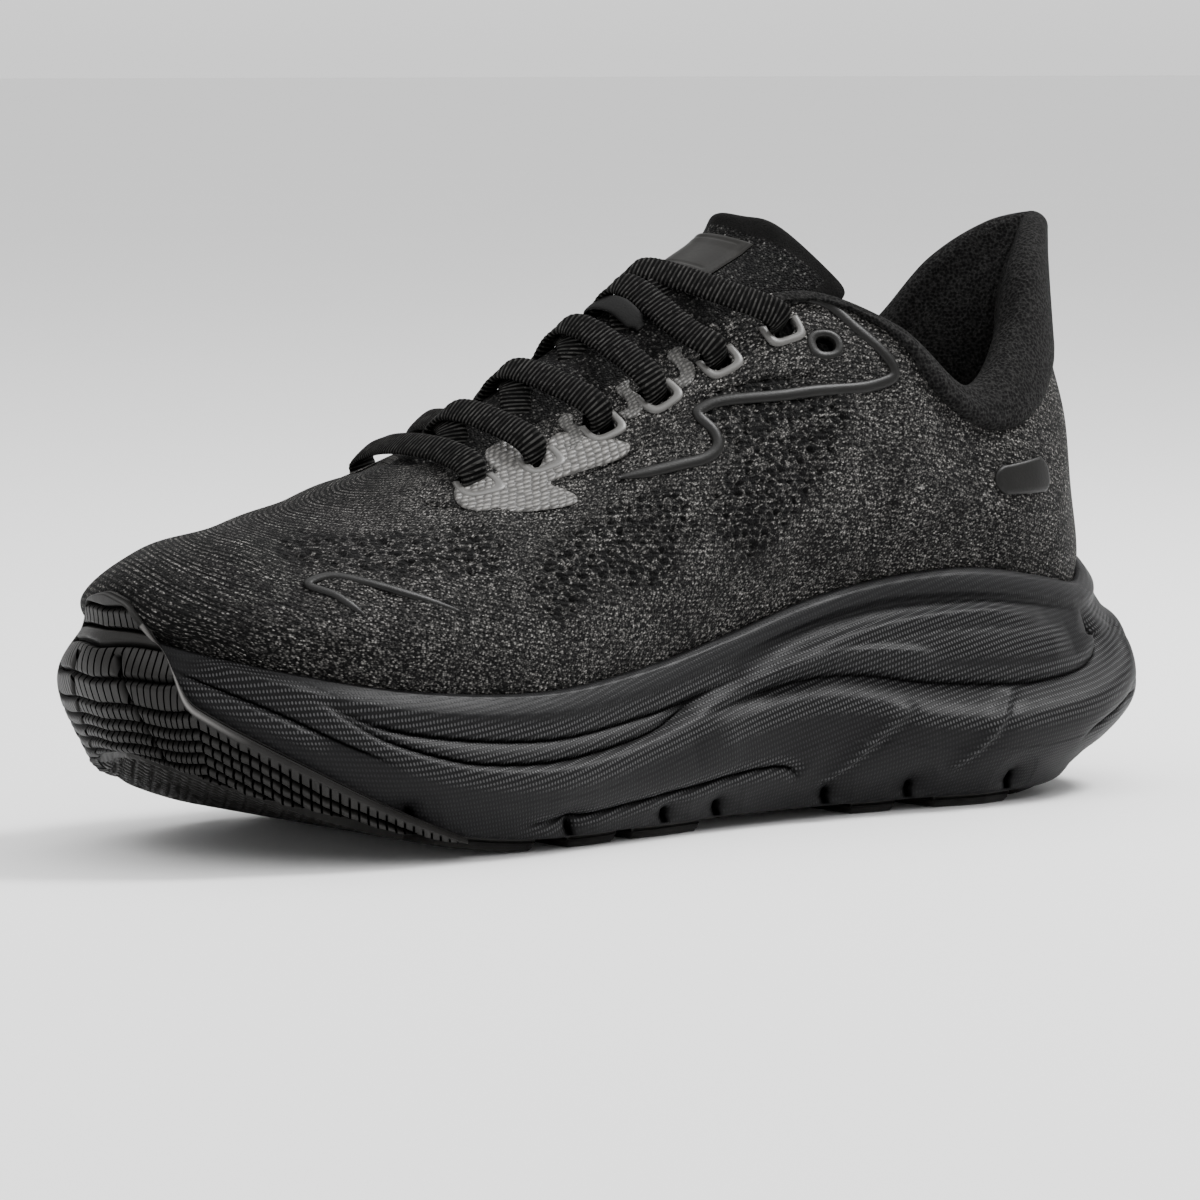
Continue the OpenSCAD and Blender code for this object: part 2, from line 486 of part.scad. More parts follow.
// Middle line of the tongue's outer face. Its sides fall away from it, and go down inside the upper.
tongue_line = [for (p = [[-80, 74], [-68, 80], [-56, 88], [-36, 98], [-19, 107], [-4, 116], [5, 123],
    [14, 131], [23, 137], [31, 142.5], [38, 145]]) [p[0] * size_k[0], 0, p[1] * size_k[2]]];
body_half = [14, 16, 19, 21, 21, 21, 21, 21, 21, 21, 21];
body_fall = [10, 14, 20, 27, 28, 28, 28, 28, 28, 28, 28];
pad_half = [12, 12, 12, 12, 12, 12, 12, 12, 13, 16, 18];
pad_fall = [6, 6, 6, 6, 6, 6, 6, 6, 6, 7, 8];
function tongue_dir(t) = unit(line_at(tongue_line, t + 0.05) - line_at(tongue_line, t - 0.05));
function tongue_out(t) = cross([0, -1, 0], tongue_dir(t));
// A point on the tongue: t along it, a from -1 to 1 across it, d outside its outer face.
function tongue_at(half, fall, t, a, d) = line_at(tongue_line, t) + [0, a * line_at(half, t) * size_k[1], 0]
    + tongue_out(t) * (d - line_at(fall, t) * pow(a, 2));
function body_grid(t0, t1, n, d) = [for (t = steps(t0, t1, n)) [for (a = steps(1, -1, 8))
    tongue_at(body_half, body_fall, t, a, d)]];
// The padded top is thinner towards its sides.
function pad_grid(t0, t1, n, d) = [for (t = steps(t0, t1, n)) [for (a = steps(1, -1, 8))
    tongue_at(pad_half, pad_fall, t, a, d * (1 - 0.6 * pow(a, 2)))]];
// The top of the tongue folds about an axis along Y at this place along it.
fold_t = 7.75;
fold_gap = 0.1;

module tongue_body() color("#1a191a") slab(body_grid(0.3, fold_t - fold_gap, 14, 0), body_grid(0.3, fold_t - fold_gap, 14, -tongue_t));
module tongue_pad() color("#151415") slab(pad_grid(fold_t + fold_gap, 10, 6, 0), pad_grid(fold_t + fold_gap, 10, 6, -tongue_pad_t));

label_t = 0.5;
module tongue_label() {
    function grid(d) = [for (t = steps(7.95, 9.3, 4)) [for (a = steps(0.6, -0.6, 4)) tongue_at(pad_half, pad_fall, t, a, d)]];
    color("#302f2e") slab(grid(bond_gap + label_t), grid(bond_gap));
}

// Strap across the tongue that the lace passes under.
keeper_t = 0.8;
keeper_inside = 6.6;
keeper_half = 0.6;
module lace_keeper() {
    across = steps(keeper_half, -keeper_half, 12);
    function lift(a) = abs(a) > keeper_half - 0.06 ? 0.4 : keeper_inside;
    function grid(k) = [for (t = [5.0, 5.3, 5.6]) [for (a = across)
        tongue_at(body_half, body_fall, t, a * (k > 0 ? 1.03 : 0.97), lift(a) + k * keeper_t)]];
    color("#1f1e1d") slab(grid(1), grid(0));
}

gusset_t = 0.8;
module tongue_gusset(side) {
    ss = side < 0 ? steps(7, 10, 6) : steps(10, 7, 6);
    us = [for (s = ss) around(s, side)];
    color("#202020") patch(shoe_rows, us, [for (s = ss) 2.6], [for (s = ss) 3.6], 4, -shell_t - bond_gap, -shell_t - bond_gap - gusset_t);
}
module tongue_gusset_medial() tongue_gusset(MEDIAL);
module tongue_gusset_lateral() tongue_gusset(LATERAL);

// ---- Lace ----

// One flat lace. It lies on the sockliner on the medial side, comes up inside the upper, crosses down to the
// toe end, and goes back up and in on the lateral side. It goes into every eyelet from outside, and comes out
// from under the edge of the upper on its way across.
tail_medial = [[-50, -15, 35.5], [-30, -15, 35.5], [-10, -14, 37.5], [10, -15, 39.5],
    [26, -19, 43], [36, -25, 51], [42, -30, 63], [46, -33, 77], [46, -32, 91], [42, -27, 103], [38, -22.5, 110]];
down_medial = [[34, -19, 114.5], [30.5, -25.5, 120.3], [22, -19.5, 125], [9, 0, 131.5], [8.5, 7, 126],
    [14.5, 15, 112], [15.5, 21.5, 105.5], [12, 26.5, 112.8], [8, 18.5, 117], [2.5, 0, 124.8],
    [-1.5, -7, 117], [-2, -12.5, 103.5], [-1.5, -18, 98.5], [-5.5, -23, 105], [-8.5, -16.5, 111.5],
    [-13, 0, 118.6], [-17, 7, 110], [-19, 14.5, 94.5], [-18, 20.5, 91], [-21, 25, 98.5],
    [-24.5, 17, 103.5], [-30.5, 0, 106], [-34, -7, 99.5], [-36, -12, 88.5], [-37.5, -18, 84.5],
    [-40.5, -22.5, 91.5], [-43.5, -15.5, 96], [-47.5, 0, 99.3], [-50.5, 7, 92], [-51, 13.5, 83],
    [-55, 20.5, 79], [-57.5, 23.5, 87], [-58.5, 15, 90.3]];
bar = [[-60, 5, 91.6], [-60, -5, 91.6]];
up_lateral = [[-58.5, -13.5, 90.3], [-57.5, -21.5, 87], [-55, -18.5, 79], [-51, -12, 83], [-51.5, -7, 89.5],
    [-49, 0, 96], [-44.5, 16.5, 96], [-40.5, 25, 91.5], [-37.5, 21.5, 84], [-36.5, 14.5, 88],
    [-34.5, 7, 99.5], [-31, 0, 108.5], [-25, -16.3, 104], [-21, -22.5, 99], [-18.5, -17.5, 92],
    [-19, -12, 95.5], [-17, -7, 107], [-13.5, 0, 115.8], [-8.5, 17.5, 111], [-5.5, 25.5, 105],
    [-1.5, 21.5, 98], [-1.5, 15, 101.5], [-1, 7, 117.5], [2.5, 0, 127.8], [8, -17.5, 117.5],
    [12, -24, 113], [15.5, -18.5, 107], [15, -13, 112], [9.5, -7, 124.5], [10, 0, 129.2],
    [22, 20.5, 124], [30.5, 28, 119.3], [34, 22, 113]];
tail_lateral = [[37.5, 24.5, 109.5], [42, 29, 102], [46, 34, 90], [46, 35, 76], [42, 32, 62], [36, 27, 50],
    [26, 21, 43], [10, 18, 39.5], [-10, 16, 37.5], [-30, 17, 35.5], [-50, 18, 35.5]];
// Direction of the lace's width: up the tongue while laced, towards the heel on its way down, level at the end.
laced_side = [0.8, 0, 0.6];
function tail_sides(y) = [for (i = [0 : 10]) i < 4 ? [0, y, 0] : i < 6 ? [0.5, 0.8 * y, 0] : i < 9 ? [1, 0, 0] : laced_side];
lace_route = [for (p = concat(tail_medial, down_medial, bar, up_lateral, tail_lateral))
    [p[0] * size_k[0], p[1] * size_k[1], p[2] * size_k[2]]];
lace_sides = concat(tail_sides(1), [for (p = concat(down_medial, bar, up_lateral)) laced_side],
    [for (i = [10 : -1 : 0]) tail_sides(-1)[i]]);

module lace() color("#161616") sweep(lace_route, lace_sides, lace_w / 2, lace_t / 2, 8);

// Plastic tips, end to end with the lace.
aglet_r = 1.7;
aglet_rise = 1;
module aglets() {
    n = len(lace_route);
    for (p = [lace_route[0], lace_route[n - 1]])
        color("#101010") sweep([p, p + [-aglet_l / 2, 0, aglet_rise / 3], p + [-aglet_l, 0, aglet_rise]],
            [[0, 1, 0], [0, 1, 0], [0, 1, 0]], aglet_r, aglet_r, 12);
}

midsole();
outsole_toe_cap();
outsole_front_tread();
pad_fore_medial_1();
pad_fore_medial_2();
pad_fore_medial_3();
pad_fore_lateral_1();
pad_fore_lateral_2();
pad_fore_lateral_3();
pad_mid_medial();
pad_heel_medial();
pad_heel_lateral();
pad_heel_rear();
strobel_board();
sockliner();
upper_shell();
toe_puff();
heel_counter();
collar_foam();
collar_lining();
topline_binding();
eyestay_medial();
eyestay_lateral();
eyelet_rims_medial();
eyelet_rims_lateral();
edge_tabs_medial();
edge_tabs_lateral();
vamp_overlay_medial();
vamp_overlay_lateral();
quarter_bead_medial();
quarter_bead_lateral();
toe_bead_medial();
toe_bead_lateral();
heel_badge_medial();
heel_badge_lateral();
tongue_body();
tongue_gusset_medial();
tongue_gusset_lateral();
lace_keeper();
tongue_pad();
tongue_label();
lace();
aglets();
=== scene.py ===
"""Running shoe, right foot: its looks, built on the CAD frame. Toe towards -X, medial side towards -Y, up +Z."""

import math

import bmesh
import bpy
import numpy as np
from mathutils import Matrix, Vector
from mathutils.geometry import delaunay_2d_cdt


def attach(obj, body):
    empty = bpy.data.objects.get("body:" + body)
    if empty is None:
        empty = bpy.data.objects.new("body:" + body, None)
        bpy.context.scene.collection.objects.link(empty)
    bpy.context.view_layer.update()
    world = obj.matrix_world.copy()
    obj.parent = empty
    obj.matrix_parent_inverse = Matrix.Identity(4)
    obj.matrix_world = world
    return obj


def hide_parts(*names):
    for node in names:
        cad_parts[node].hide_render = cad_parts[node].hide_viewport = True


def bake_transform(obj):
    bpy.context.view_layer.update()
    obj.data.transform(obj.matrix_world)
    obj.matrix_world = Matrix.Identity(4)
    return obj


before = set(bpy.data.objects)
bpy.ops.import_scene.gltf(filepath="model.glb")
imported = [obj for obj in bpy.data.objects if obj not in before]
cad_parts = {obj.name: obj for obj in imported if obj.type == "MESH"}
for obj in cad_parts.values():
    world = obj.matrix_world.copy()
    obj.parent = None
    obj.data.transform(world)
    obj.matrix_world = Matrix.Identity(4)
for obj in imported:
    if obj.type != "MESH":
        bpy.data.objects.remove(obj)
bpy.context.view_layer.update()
rng = np.random.default_rng(11)
MM = 0.001

# ---- Camera ----

AZIMUTH, ELEVATION = math.radians(-37), math.radians(5)
TARGET = Vector((-0.004, 0.0, 0.052))
DISTANCE = 1.5
LENS, SENSOR = 187, 36


def add_camera():
    flat = math.cos(ELEVATION)
    back = Vector((math.sin(AZIMUTH) * flat, -math.cos(AZIMUTH) * flat, math.sin(ELEVATION)))
    data = bpy.data.cameras.new("camera")
    data.lens, data.sensor_width = LENS, SENSOR
    cam = bpy.data.objects.new("camera", data)
    cam.location = TARGET + back * DISTANCE
    cam.rotation_euler = back.to_track_quat("Z", "Y").to_euler()
    bpy.context.scene.collection.objects.link(cam)
    bpy.context.scene.camera = cam


add_camera()

# ---- Curves and surfaces ----

STATIONS, TOE = 26, 13
MEDIAL, LATERAL = -1, 1
SIDES = {"medial": MEDIAL, "lateral": LATERAL}


def outline(heel, medial, toe, lateral):
    """A closed outline from its heel point, its medial and lateral points (both heel to toe) and its toe point."""
    return np.array([heel] + medial + [toe] + lateral[::-1], float) * MM


def clip01(x):
    return np.clip(x, 0, 1)


def bell(x, width):
    return np.exp(-((x / width) ** 2))


def spline(a, b, c, d, f):
    """The Catmull-Rom curve from b to c, at f from 0 to 1."""
    return 0.5 * (2 * b + (c - a) * f + (2 * a - 5 * b + 4 * c - d) * f**2 + (3 * b - a - 3 * c + d) * f**3)


def extended(p):
    """The rows with one more at each end, in line with the last two."""
    return np.concatenate([2 * p[:1] - p[1:2], p, 2 * p[-1:] - p[-2:-1]])


def curve_at(points, t, closed=False):
    """The smooth curve through the points, at parameters t counted in points."""
    p, t = np.asarray(points, float), np.asarray(t, float)
    n = len(p)
    i = np.floor(t).astype(int)
    if not closed:
        i = np.clip(i, 0, n - 2)
        p = extended(p)
    corners = [p[(i + k) % n] if closed else p[i + 1 + k] for k in (-1, 0, 1, 2)]
    return spline(*corners, (t - i)[..., None])


def unit(v):
    return v / np.maximum(np.linalg.norm(v, axis=-1, keepdims=True), 1e-12)


def around(s, side):
    """Station round the shoe for s stations from the heel on one side."""
    return s if side < 0 else STATIONS - s


def from_heel(u):
    k = np.mod(u, STATIONS)
    return np.minimum(k, STATIONS - k)


class Skin:
    """A surface through closed outlines: u counts stations round it, v counts outlines up it."""

    STEP = 0.02

    def __init__(self, *rows):
        self.rows = rows

    def at(self, u, v):
        u, v = np.broadcast_arrays(np.asarray(u, float), np.asarray(v, float))
        p = extended(np.stack([curve_at(r, u, closed=True) for r in self.rows]))
        i = np.clip(np.floor(v).astype(int), 0, len(self.rows) - 2)
        corners = [np.take_along_axis(p, (i + 1 + k)[None, ..., None], 0)[0] for k in (-1, 0, 1, 2)]
        return spline(*corners, (v - i)[..., None])

    def du(self, u, v):
        return unit(self.at(u + self.STEP, v) - self.at(u - self.STEP, v))

    def dv(self, u, v):
        return unit(self.at(u, v + self.STEP) - self.at(u, v - self.STEP))

    def normal(self, u, v):
        return unit(np.cross(self.dv(u, v), self.du(u, v)))

    def off(self, u, v, d):
        return self.at(u, v) + self.normal(u, v) * np.asarray(d, float)[..., None]

    def places(self, s0, v0, side, xy):
        """[s, v] of places near [s0, v0], given in metres: x towards the toe, y up the surface."""
        e = 0.05
        at = lambda s, v: self.at(around(s, side), v)
        ps, pv = (at(s0 + e, v0) - at(s0 - e, v0)) / (2 * e), (at(s0, v0 + e) - at(s0, v0 - e)) / (2 * e)
        ex = unit(ps)
        ey = unit(pv - ex * (pv @ ex))
        turn = np.linalg.inv([[ps @ ex, pv @ ex], [ps @ ey, pv @ ey]])
        return np.array([s0, v0]) + np.asarray(xy, float) @ turn.T


wall_line = outline([152, 2, 27],
    [[149, -18, 26], [138, -34, 25], [116, -45, 23], [88, -48, 21], [60, -46, 20], [32, -45, 19],
     [4, -47, 18], [-26, -52, 17], [-60, -57, 18], [-94, -56, 23], [-122, -47, 31], [-142, -29, 39]],
    [-149, -5, 44],
    [[149, 20, 27], [138, 35, 26], [116, 46, 24], [88, 50, 22], [60, 52, 20], [32, 54, 19],
     [4, 57, 18], [-26, 60, 17], [-60, 59, 18], [-94, 52, 23], [-122, 40.5, 31], [-140.5, 22.5, 39]])
rim_line = outline([139, 0, 60],
    [[135, -15, 56], [123, -28, 52], [104, -35, 55], [82, -37, 58], [58, -36, 57], [32, -37, 53],
     [4, -40, 46], [-26, -45, 40], [-58, -50, 37], [-92, -49, 39], [-120, -41, 44], [-138, -24, 49]],
    [-145, -5, 53],
    [[135, 15, 57], [122, 28, 54], [104, 36, 56], [82, 39, 57], [58, 42, 55], [32, 46, 51],
     [4, 50, 46], [-26, 53, 41], [-58, 52, 38], [-92, 46, 40], [-120, 35, 45], [-138, 18, 50]])
ground_line = outline([131, 0, 0],
    [[128, -14, 0], [120, -28, 0], [104, -38, 0], [84, -42, 0], [58, -40, 0], [32, -39, 0],
     [4, -41, 0], [-26, -46, 0], [-58, -51, 0], [-90, -50, 0], [-117, -41, 0], [-135, -24, 0]],
    [-143, -5, 0],
    [[128, 15, 0], [120, 29, 0], [104, 39, 0], [84, 43, 0], [58, 46, 0], [32, 48, 0],
     [4, 51, 0], [-26, 54, 0], [-58, 53, 0], [-90, 46, 0], [-117, 35, 0], [-135, 19, 0]])
upper_low = outline([137, 0, 74],
    [[134, -13, 71], [123, -27, 70], [104, -38, 71], [82, -40, 72], [58, -40, 74], [33, -40, 72],
     [5, -42, 65], [-25, -45, 57], [-57, -49, 52], [-91, -49, 52], [-120, -42, 55], [-140, -24, 58]],
    [-146, -5, 62],
    [[134, 14, 71], [123, 28, 70], [104, 39, 71], [82, 42, 72], [58, 45, 73], [33, 48, 70],
     [5, 51, 64], [-25, 53, 57], [-57, 51, 53], [-91, 45, 53], [-120, 36, 56], [-139, 18, 59]])
upper_mid = outline([134, 0, 95],
    [[131, -12, 93], [121, -26, 90], [103, -36, 86], [82, -38, 84], [60, -38, 92], [34, -37, 92],
     [7, -38, 84], [-22, -39, 75], [-52, -40, 69], [-84, -39, 67], [-110, -32, 67], [-127, -19, 69]],
    [-133, -4, 70],
    [[131, 12, 93], [121, 26, 90], [103, 37, 86], [82, 39, 84], [60, 41, 91], [34, 43, 89],
     [7, 45, 82], [-22, 45, 75], [-52, 43, 69], [-84, 37, 67], [-110, 28, 67], [-127, 13, 69]])
upper_high = outline([130, 0, 122],
    [[127, -9, 120], [117, -22, 112], [102, -31, 103], [83, -35, 95], [62, -34, 108], [38, -30, 110],
     [10, -29, 101], [-16, -29, 90], [-44, -28, 82], [-70, -25, 78], [-88, -18, 77], [-99, -9, 77]],
    [-103, 0, 77],
    [[127, 9, 120], [117, 22, 112], [102, 31, 103], [83, 36, 95], [62, 37, 106], [38, 34, 108],
     [10, 34, 100], [-16, 34, 90], [-44, 32, 82], [-70, 26, 78], [-88, 18, 77], [-99, 9, 77]])
upper_edge = outline([135, 0, 143],
    [[127, -10, 141], [115, -20, 132], [103, -27, 116], [85, -32, 103], [64, -29, 118], [40, -20, 126],
     [12, -16, 116], [-12, -15, 104], [-36, -14, 95], [-54, -12, 89], [-63, -7, 87], [-66, -3, 87]],
    [-67, 0, 87],
    [[127, 10, 141], [115, 20, 132], [103, 28, 116], [85, 33, 103], [64, 30, 117], [40, 21, 125],
     [12, 17, 115], [-12, 16, 103], [-36, 15, 95], [-54, 13, 89], [-63, 8, 87], [-66, 4, 87]])

PAD_T = 3 * MM
FLAT = (-50 * MM, 95 * MM)
ROCKER_TOE, ROCKER_HEEL = 190 * MM, 200 * MM
BED = np.array([[-145, 41], [-120, 33], [-95, 28], [-60, 26], [-20, 27], [20, 31], [60, 35], [140, 36]]) * MM


def rocker(x):
    """Height of the midsole's underside."""
    front, behind = np.minimum(x - FLAT[0], 0), np.maximum(x - FLAT[1], 0)
    return (PAD_T + ROCKER_TOE - np.sqrt(ROCKER_TOE**2 - front**2)
            + ROCKER_HEEL - np.sqrt(ROCKER_HEEL**2 - behind**2))


def bed(x):
    return np.interp(x, BED[:, 0], BED[:, 1])


def inset(loop, d):
    """The outline moved inwards, seen from above."""
    t = np.roll(loop, -1, 0) - np.roll(loop, 1, 0)
    t = unit(t * [1, 1, 0])
    return loop + np.stack([t[:, 1], -t[:, 0], 0 * t[:, 0]], 1) * d


def at_height(loop, z):
    return np.column_stack([loop[:, :2], np.broadcast_to(z, len(loop))])


wall = Skin(at_height(ground_line, rocker(ground_line[:, 0])), wall_line, rim_line)
bite_line = inset(rim_line, 5.4 * MM)
shoe = Skin(at_height(bite_line, bed(bite_line[:, 0]) + 2.8 * MM), inset(rim_line, 1.4 * MM),
    upper_low, upper_mid, upper_high, upper_edge)
cap_skin = Skin(*wall.rows, upper_low)
V_EDGE = 5
SHELL_T = 3 * MM
COLLAR = 5.3


def trace(skin, path, side):
    """Points on a surface along the smooth line through places [stations from the heel, v]."""
    s, v = curve_at(path, np.linspace(0, len(path) - 1, 60)).T
    return skin.at(around(s, side), v)


def nearest(points, line):
    """Distance of each point to a line, how far along it that is from 0 to 1, and the vector from the line."""
    a, d = line[:-1], np.diff(line, axis=0)
    rel = points[:, None] - a[None]
    f = clip01((rel * d).sum(-1) / np.maximum((d * d).sum(-1), 1e-15))
    gap = rel - f[..., None] * d
    dist = np.linalg.norm(gap, axis=-1)
    k = dist.argmin(1)
    i = np.arange(len(points))
    return dist[i, k], (k + f[i, k]) / len(d), gap[i, k]


def profile_along(points, skin, path, reach, shape, ends):
    """shape(distance, above) added up near a path on both sides of the shoe; it fades at the path's ends."""
    out = np.zeros(len(points))
    for side in (MEDIAL, LATERAL):
        line = trace(skin, path, side)
        near = ((points > line.min(0) - reach) & (points < line.max(0) + reach)).all(1)
        near &= np.sign(points[:, 1]) == side
        if near.any():
            dist, t, gap = nearest(points[near], line)
            fade = clip01(np.minimum(t, 1 - t) / ends) if ends else 1.0
            out[near] += shape(dist, gap[:, 2] > 0) * fade * (dist < reach)
    return out


def groove(depth, up, down):
    """A cusp-shaped channel whose sides run out over the lengths up and down."""
    return lambda d, above: -depth * np.exp(-d / np.where(above, up, down))


def ridge(height, up, down):
    return lambda d, above: height * bell(d, np.where(above, up, down))


def band(half, soft):
    """1 within half of the path, falling to 0 over soft."""
    return lambda d, above: clip01((half + soft - d) / soft)


# ---- Meshes ----


def grid_faces(rows, cols, around_u=True, around_v=False):
    i, j = np.meshgrid(np.arange(rows - (not around_v)), np.arange(cols - (not around_u)), indexing="ij")
    k, m = (i + 1) % rows, (j + 1) % cols
    return np.stack([i * cols + j, k * cols + j, k * cols + m, i * cols + m], -1).reshape(-1, 4)


def cap_faces(n, start, flip=False):
    """Closes a ring of n points, symmetrical about its points 0 and n / 2, with strips across it."""
    quads = [[start + i, start + i + 1, start + n - i - 1, start + n - i] for i in range(1, n // 2 - 1)]
    ends = [[start, start + 1, start + n - 1], [start + n // 2 - 1, start + n // 2, start + n // 2 + 1]]
    return [f[::-1] if flip else f for f in quads + ends]


def new_piece(name, verts, faces, mat, uv=None, attributes=None):
    """A mesh object. uv is one [u, v] per vertex, in metres; attributes are floats per vertex for the material."""
    mesh = bpy.data.meshes.new(name)
    mesh.from_pydata(np.asarray(verts, float).reshape(-1, 3).tolist(), [], [list(map(int, f)) for f in faces])
    mesh.validate()
    for key, values in (attributes or {}).items():
        data = mesh.attributes.new(key, "FLOAT", "POINT").data
        data.foreach_set("value", np.asarray(values, np.float32).ravel())
    if uv is not None:
        loops = np.empty(len(mesh.loops), np.int32)
        mesh.loops.foreach_get("vertex_index", loops)
        layer = mesh.uv_layers.new(name="surface")
        layer.data.foreach_set("uv", np.asarray(uv, np.float32).reshape(-1, 2)[loops].ravel())
    mesh.polygons.foreach_set("use_smooth", [True] * len(mesh.polygons))
    mesh.materials.append(mat)
    obj = bpy.data.objects.new(name, mesh)
    bpy.context.scene.collection.objects.link(obj)
    return obj


def lengths(points, axis):
    """Running length of a grid of points along one axis."""
    step = np.linalg.norm(np.diff(points, axis=axis), axis=-1)
    return np.concatenate([np.zeros_like(np.take(step, [0], axis)), np.cumsum(step, axis)], axis)


def tube(name, centre, across, half, thick, sides, mat, power=2.0, attributes=None):
    """A closed tube. Its section is flat: half wide towards across, and thick high; both may vary along it."""
    m = len(centre)
    tangent = unit(np.gradient(centre, axis=0))
    across = unit(across - tangent * (across * tangent).sum(-1, keepdims=True))
    over = np.cross(across, tangent)
    angle = 2 * np.pi * (np.arange(sides) + 0.5) / sides
    x = np.sign(np.cos(angle)) * np.abs(np.cos(angle)) ** (2 / power)
    y = np.sign(np.sin(angle)) * np.abs(np.sin(angle)) ** (2 / power)
    half, thick = np.broadcast_to(half, m), np.broadcast_to(thick, m)
    rings = (centre[:, None] + across[:, None] * (half[:, None] * x)[..., None]
             + over[:, None] * (thick[:, None] * y)[..., None])
    faces = [f[::-1] for f in grid_faces(m, sides).tolist()]
    faces += [list(range(sides)), list(range((m - 1) * sides, m * sides))[::-1]]
    along = lengths(centre[:, None], 0).repeat(sides, 1)
    uv = np.stack([along, angle / (2 * np.pi) * 2 * (half[:, None] + thick[:, None])], -1)
    return new_piece(name, rings, faces, mat, uv=uv, attributes=attributes)


# About how long one station and one step of v are on the upper.
PLACE_SIZE = np.array([27 * MM, 18 * MM])


def in_plane(points):
    return np.column_stack([points, 0 * points[:, 0]])


def film(name, outlines, side, lift, thick, mat, edge=0.35 * MM, step=1.0 * MM):
    """A thin piece that follows the upper. Its outlines are given as places [stations from the heel, v]."""
    verts, faces, uvs = [], [], []
    for places in outlines:
        flat = curve_at(places, np.arange(0, len(places), 0.2), closed=True) * PLACE_SIZE
        lo, hi = flat.min(0), flat.max(0)
        gx, gy = np.meshgrid(np.arange(lo[0], hi[0], step), np.arange(lo[1], hi[1], step))
        inner = np.stack([gx.ravel(), gy.ravel()], 1)
        ring = in_plane(np.vstack([flat, flat[:1]]))
        inner = inner[in_polygon(inner, flat) & (nearest(in_plane(inner), ring)[0] > edge)]
        n = len(flat)
        points = [Vector(p) for p in np.vstack([flat, inner])]
        border = [(i, (i + 1) % n) for i in range(n)]
        out, _, tris, _, _, _ = delaunay_2d_cdt(points, border, [list(range(n))], 1, 1e-7)
        out = np.array([[p[0], p[1]] for p in out])
        s, v = (out / PLACE_SIZE).T
        rise = lift + thick * clip01(0.35 + 0.65 * nearest(in_plane(out), ring)[0] / edge)
        top = shoe.off(around(s, side), v, rise)
        low = shoe.off(around(s, side), v, np.full(len(s), lift))
        k, base = len(s), sum(len(part) for part in verts)
        tris = np.array([list(t) for t in tris])
        # Outwards is where the surface's normal points.
        a, b, c = top[tris[:, 0]], top[tris[:, 1]], top[tris[:, 2]]
        if np.cross(b - a, c - a).mean(0) @ shoe.normal(around(s, side), v).mean(0) < 0:
            tris = tris[:, ::-1]
        edges = dict.fromkeys((t[i], t[i - 2]) for t in tris.tolist() for i in range(3))
        rim = [e for e in edges if (e[1], e[0]) not in edges]
        verts += [top, low]
        uvs += [out, out]
        faces += (tris + base).tolist() + (tris[:, ::-1] + base + k).tolist()
        faces += [[base + e[1], base + e[0], base + k + e[0], base + k + e[1]] for e in rim]
    return new_piece(name, np.vstack(verts), faces, mat, uv=np.vstack(uvs))


def in_polygon(points, polygon):
    x, y = points[:, 0], points[:, 1]
    inside = np.zeros(len(points), bool)
    for (x0, y0), (x1, y1) in zip(polygon, np.roll(polygon, -1, 0)):
        cross = (y0 > y) != (y1 > y)
        inside ^= cross & (x < (x1 - x0) * (y - y0) / np.where(y1 == y0, 1e-12, y1 - y0) + x0)
    return inside


# ---- Materials ----


def grey(level):
    return level, level, level


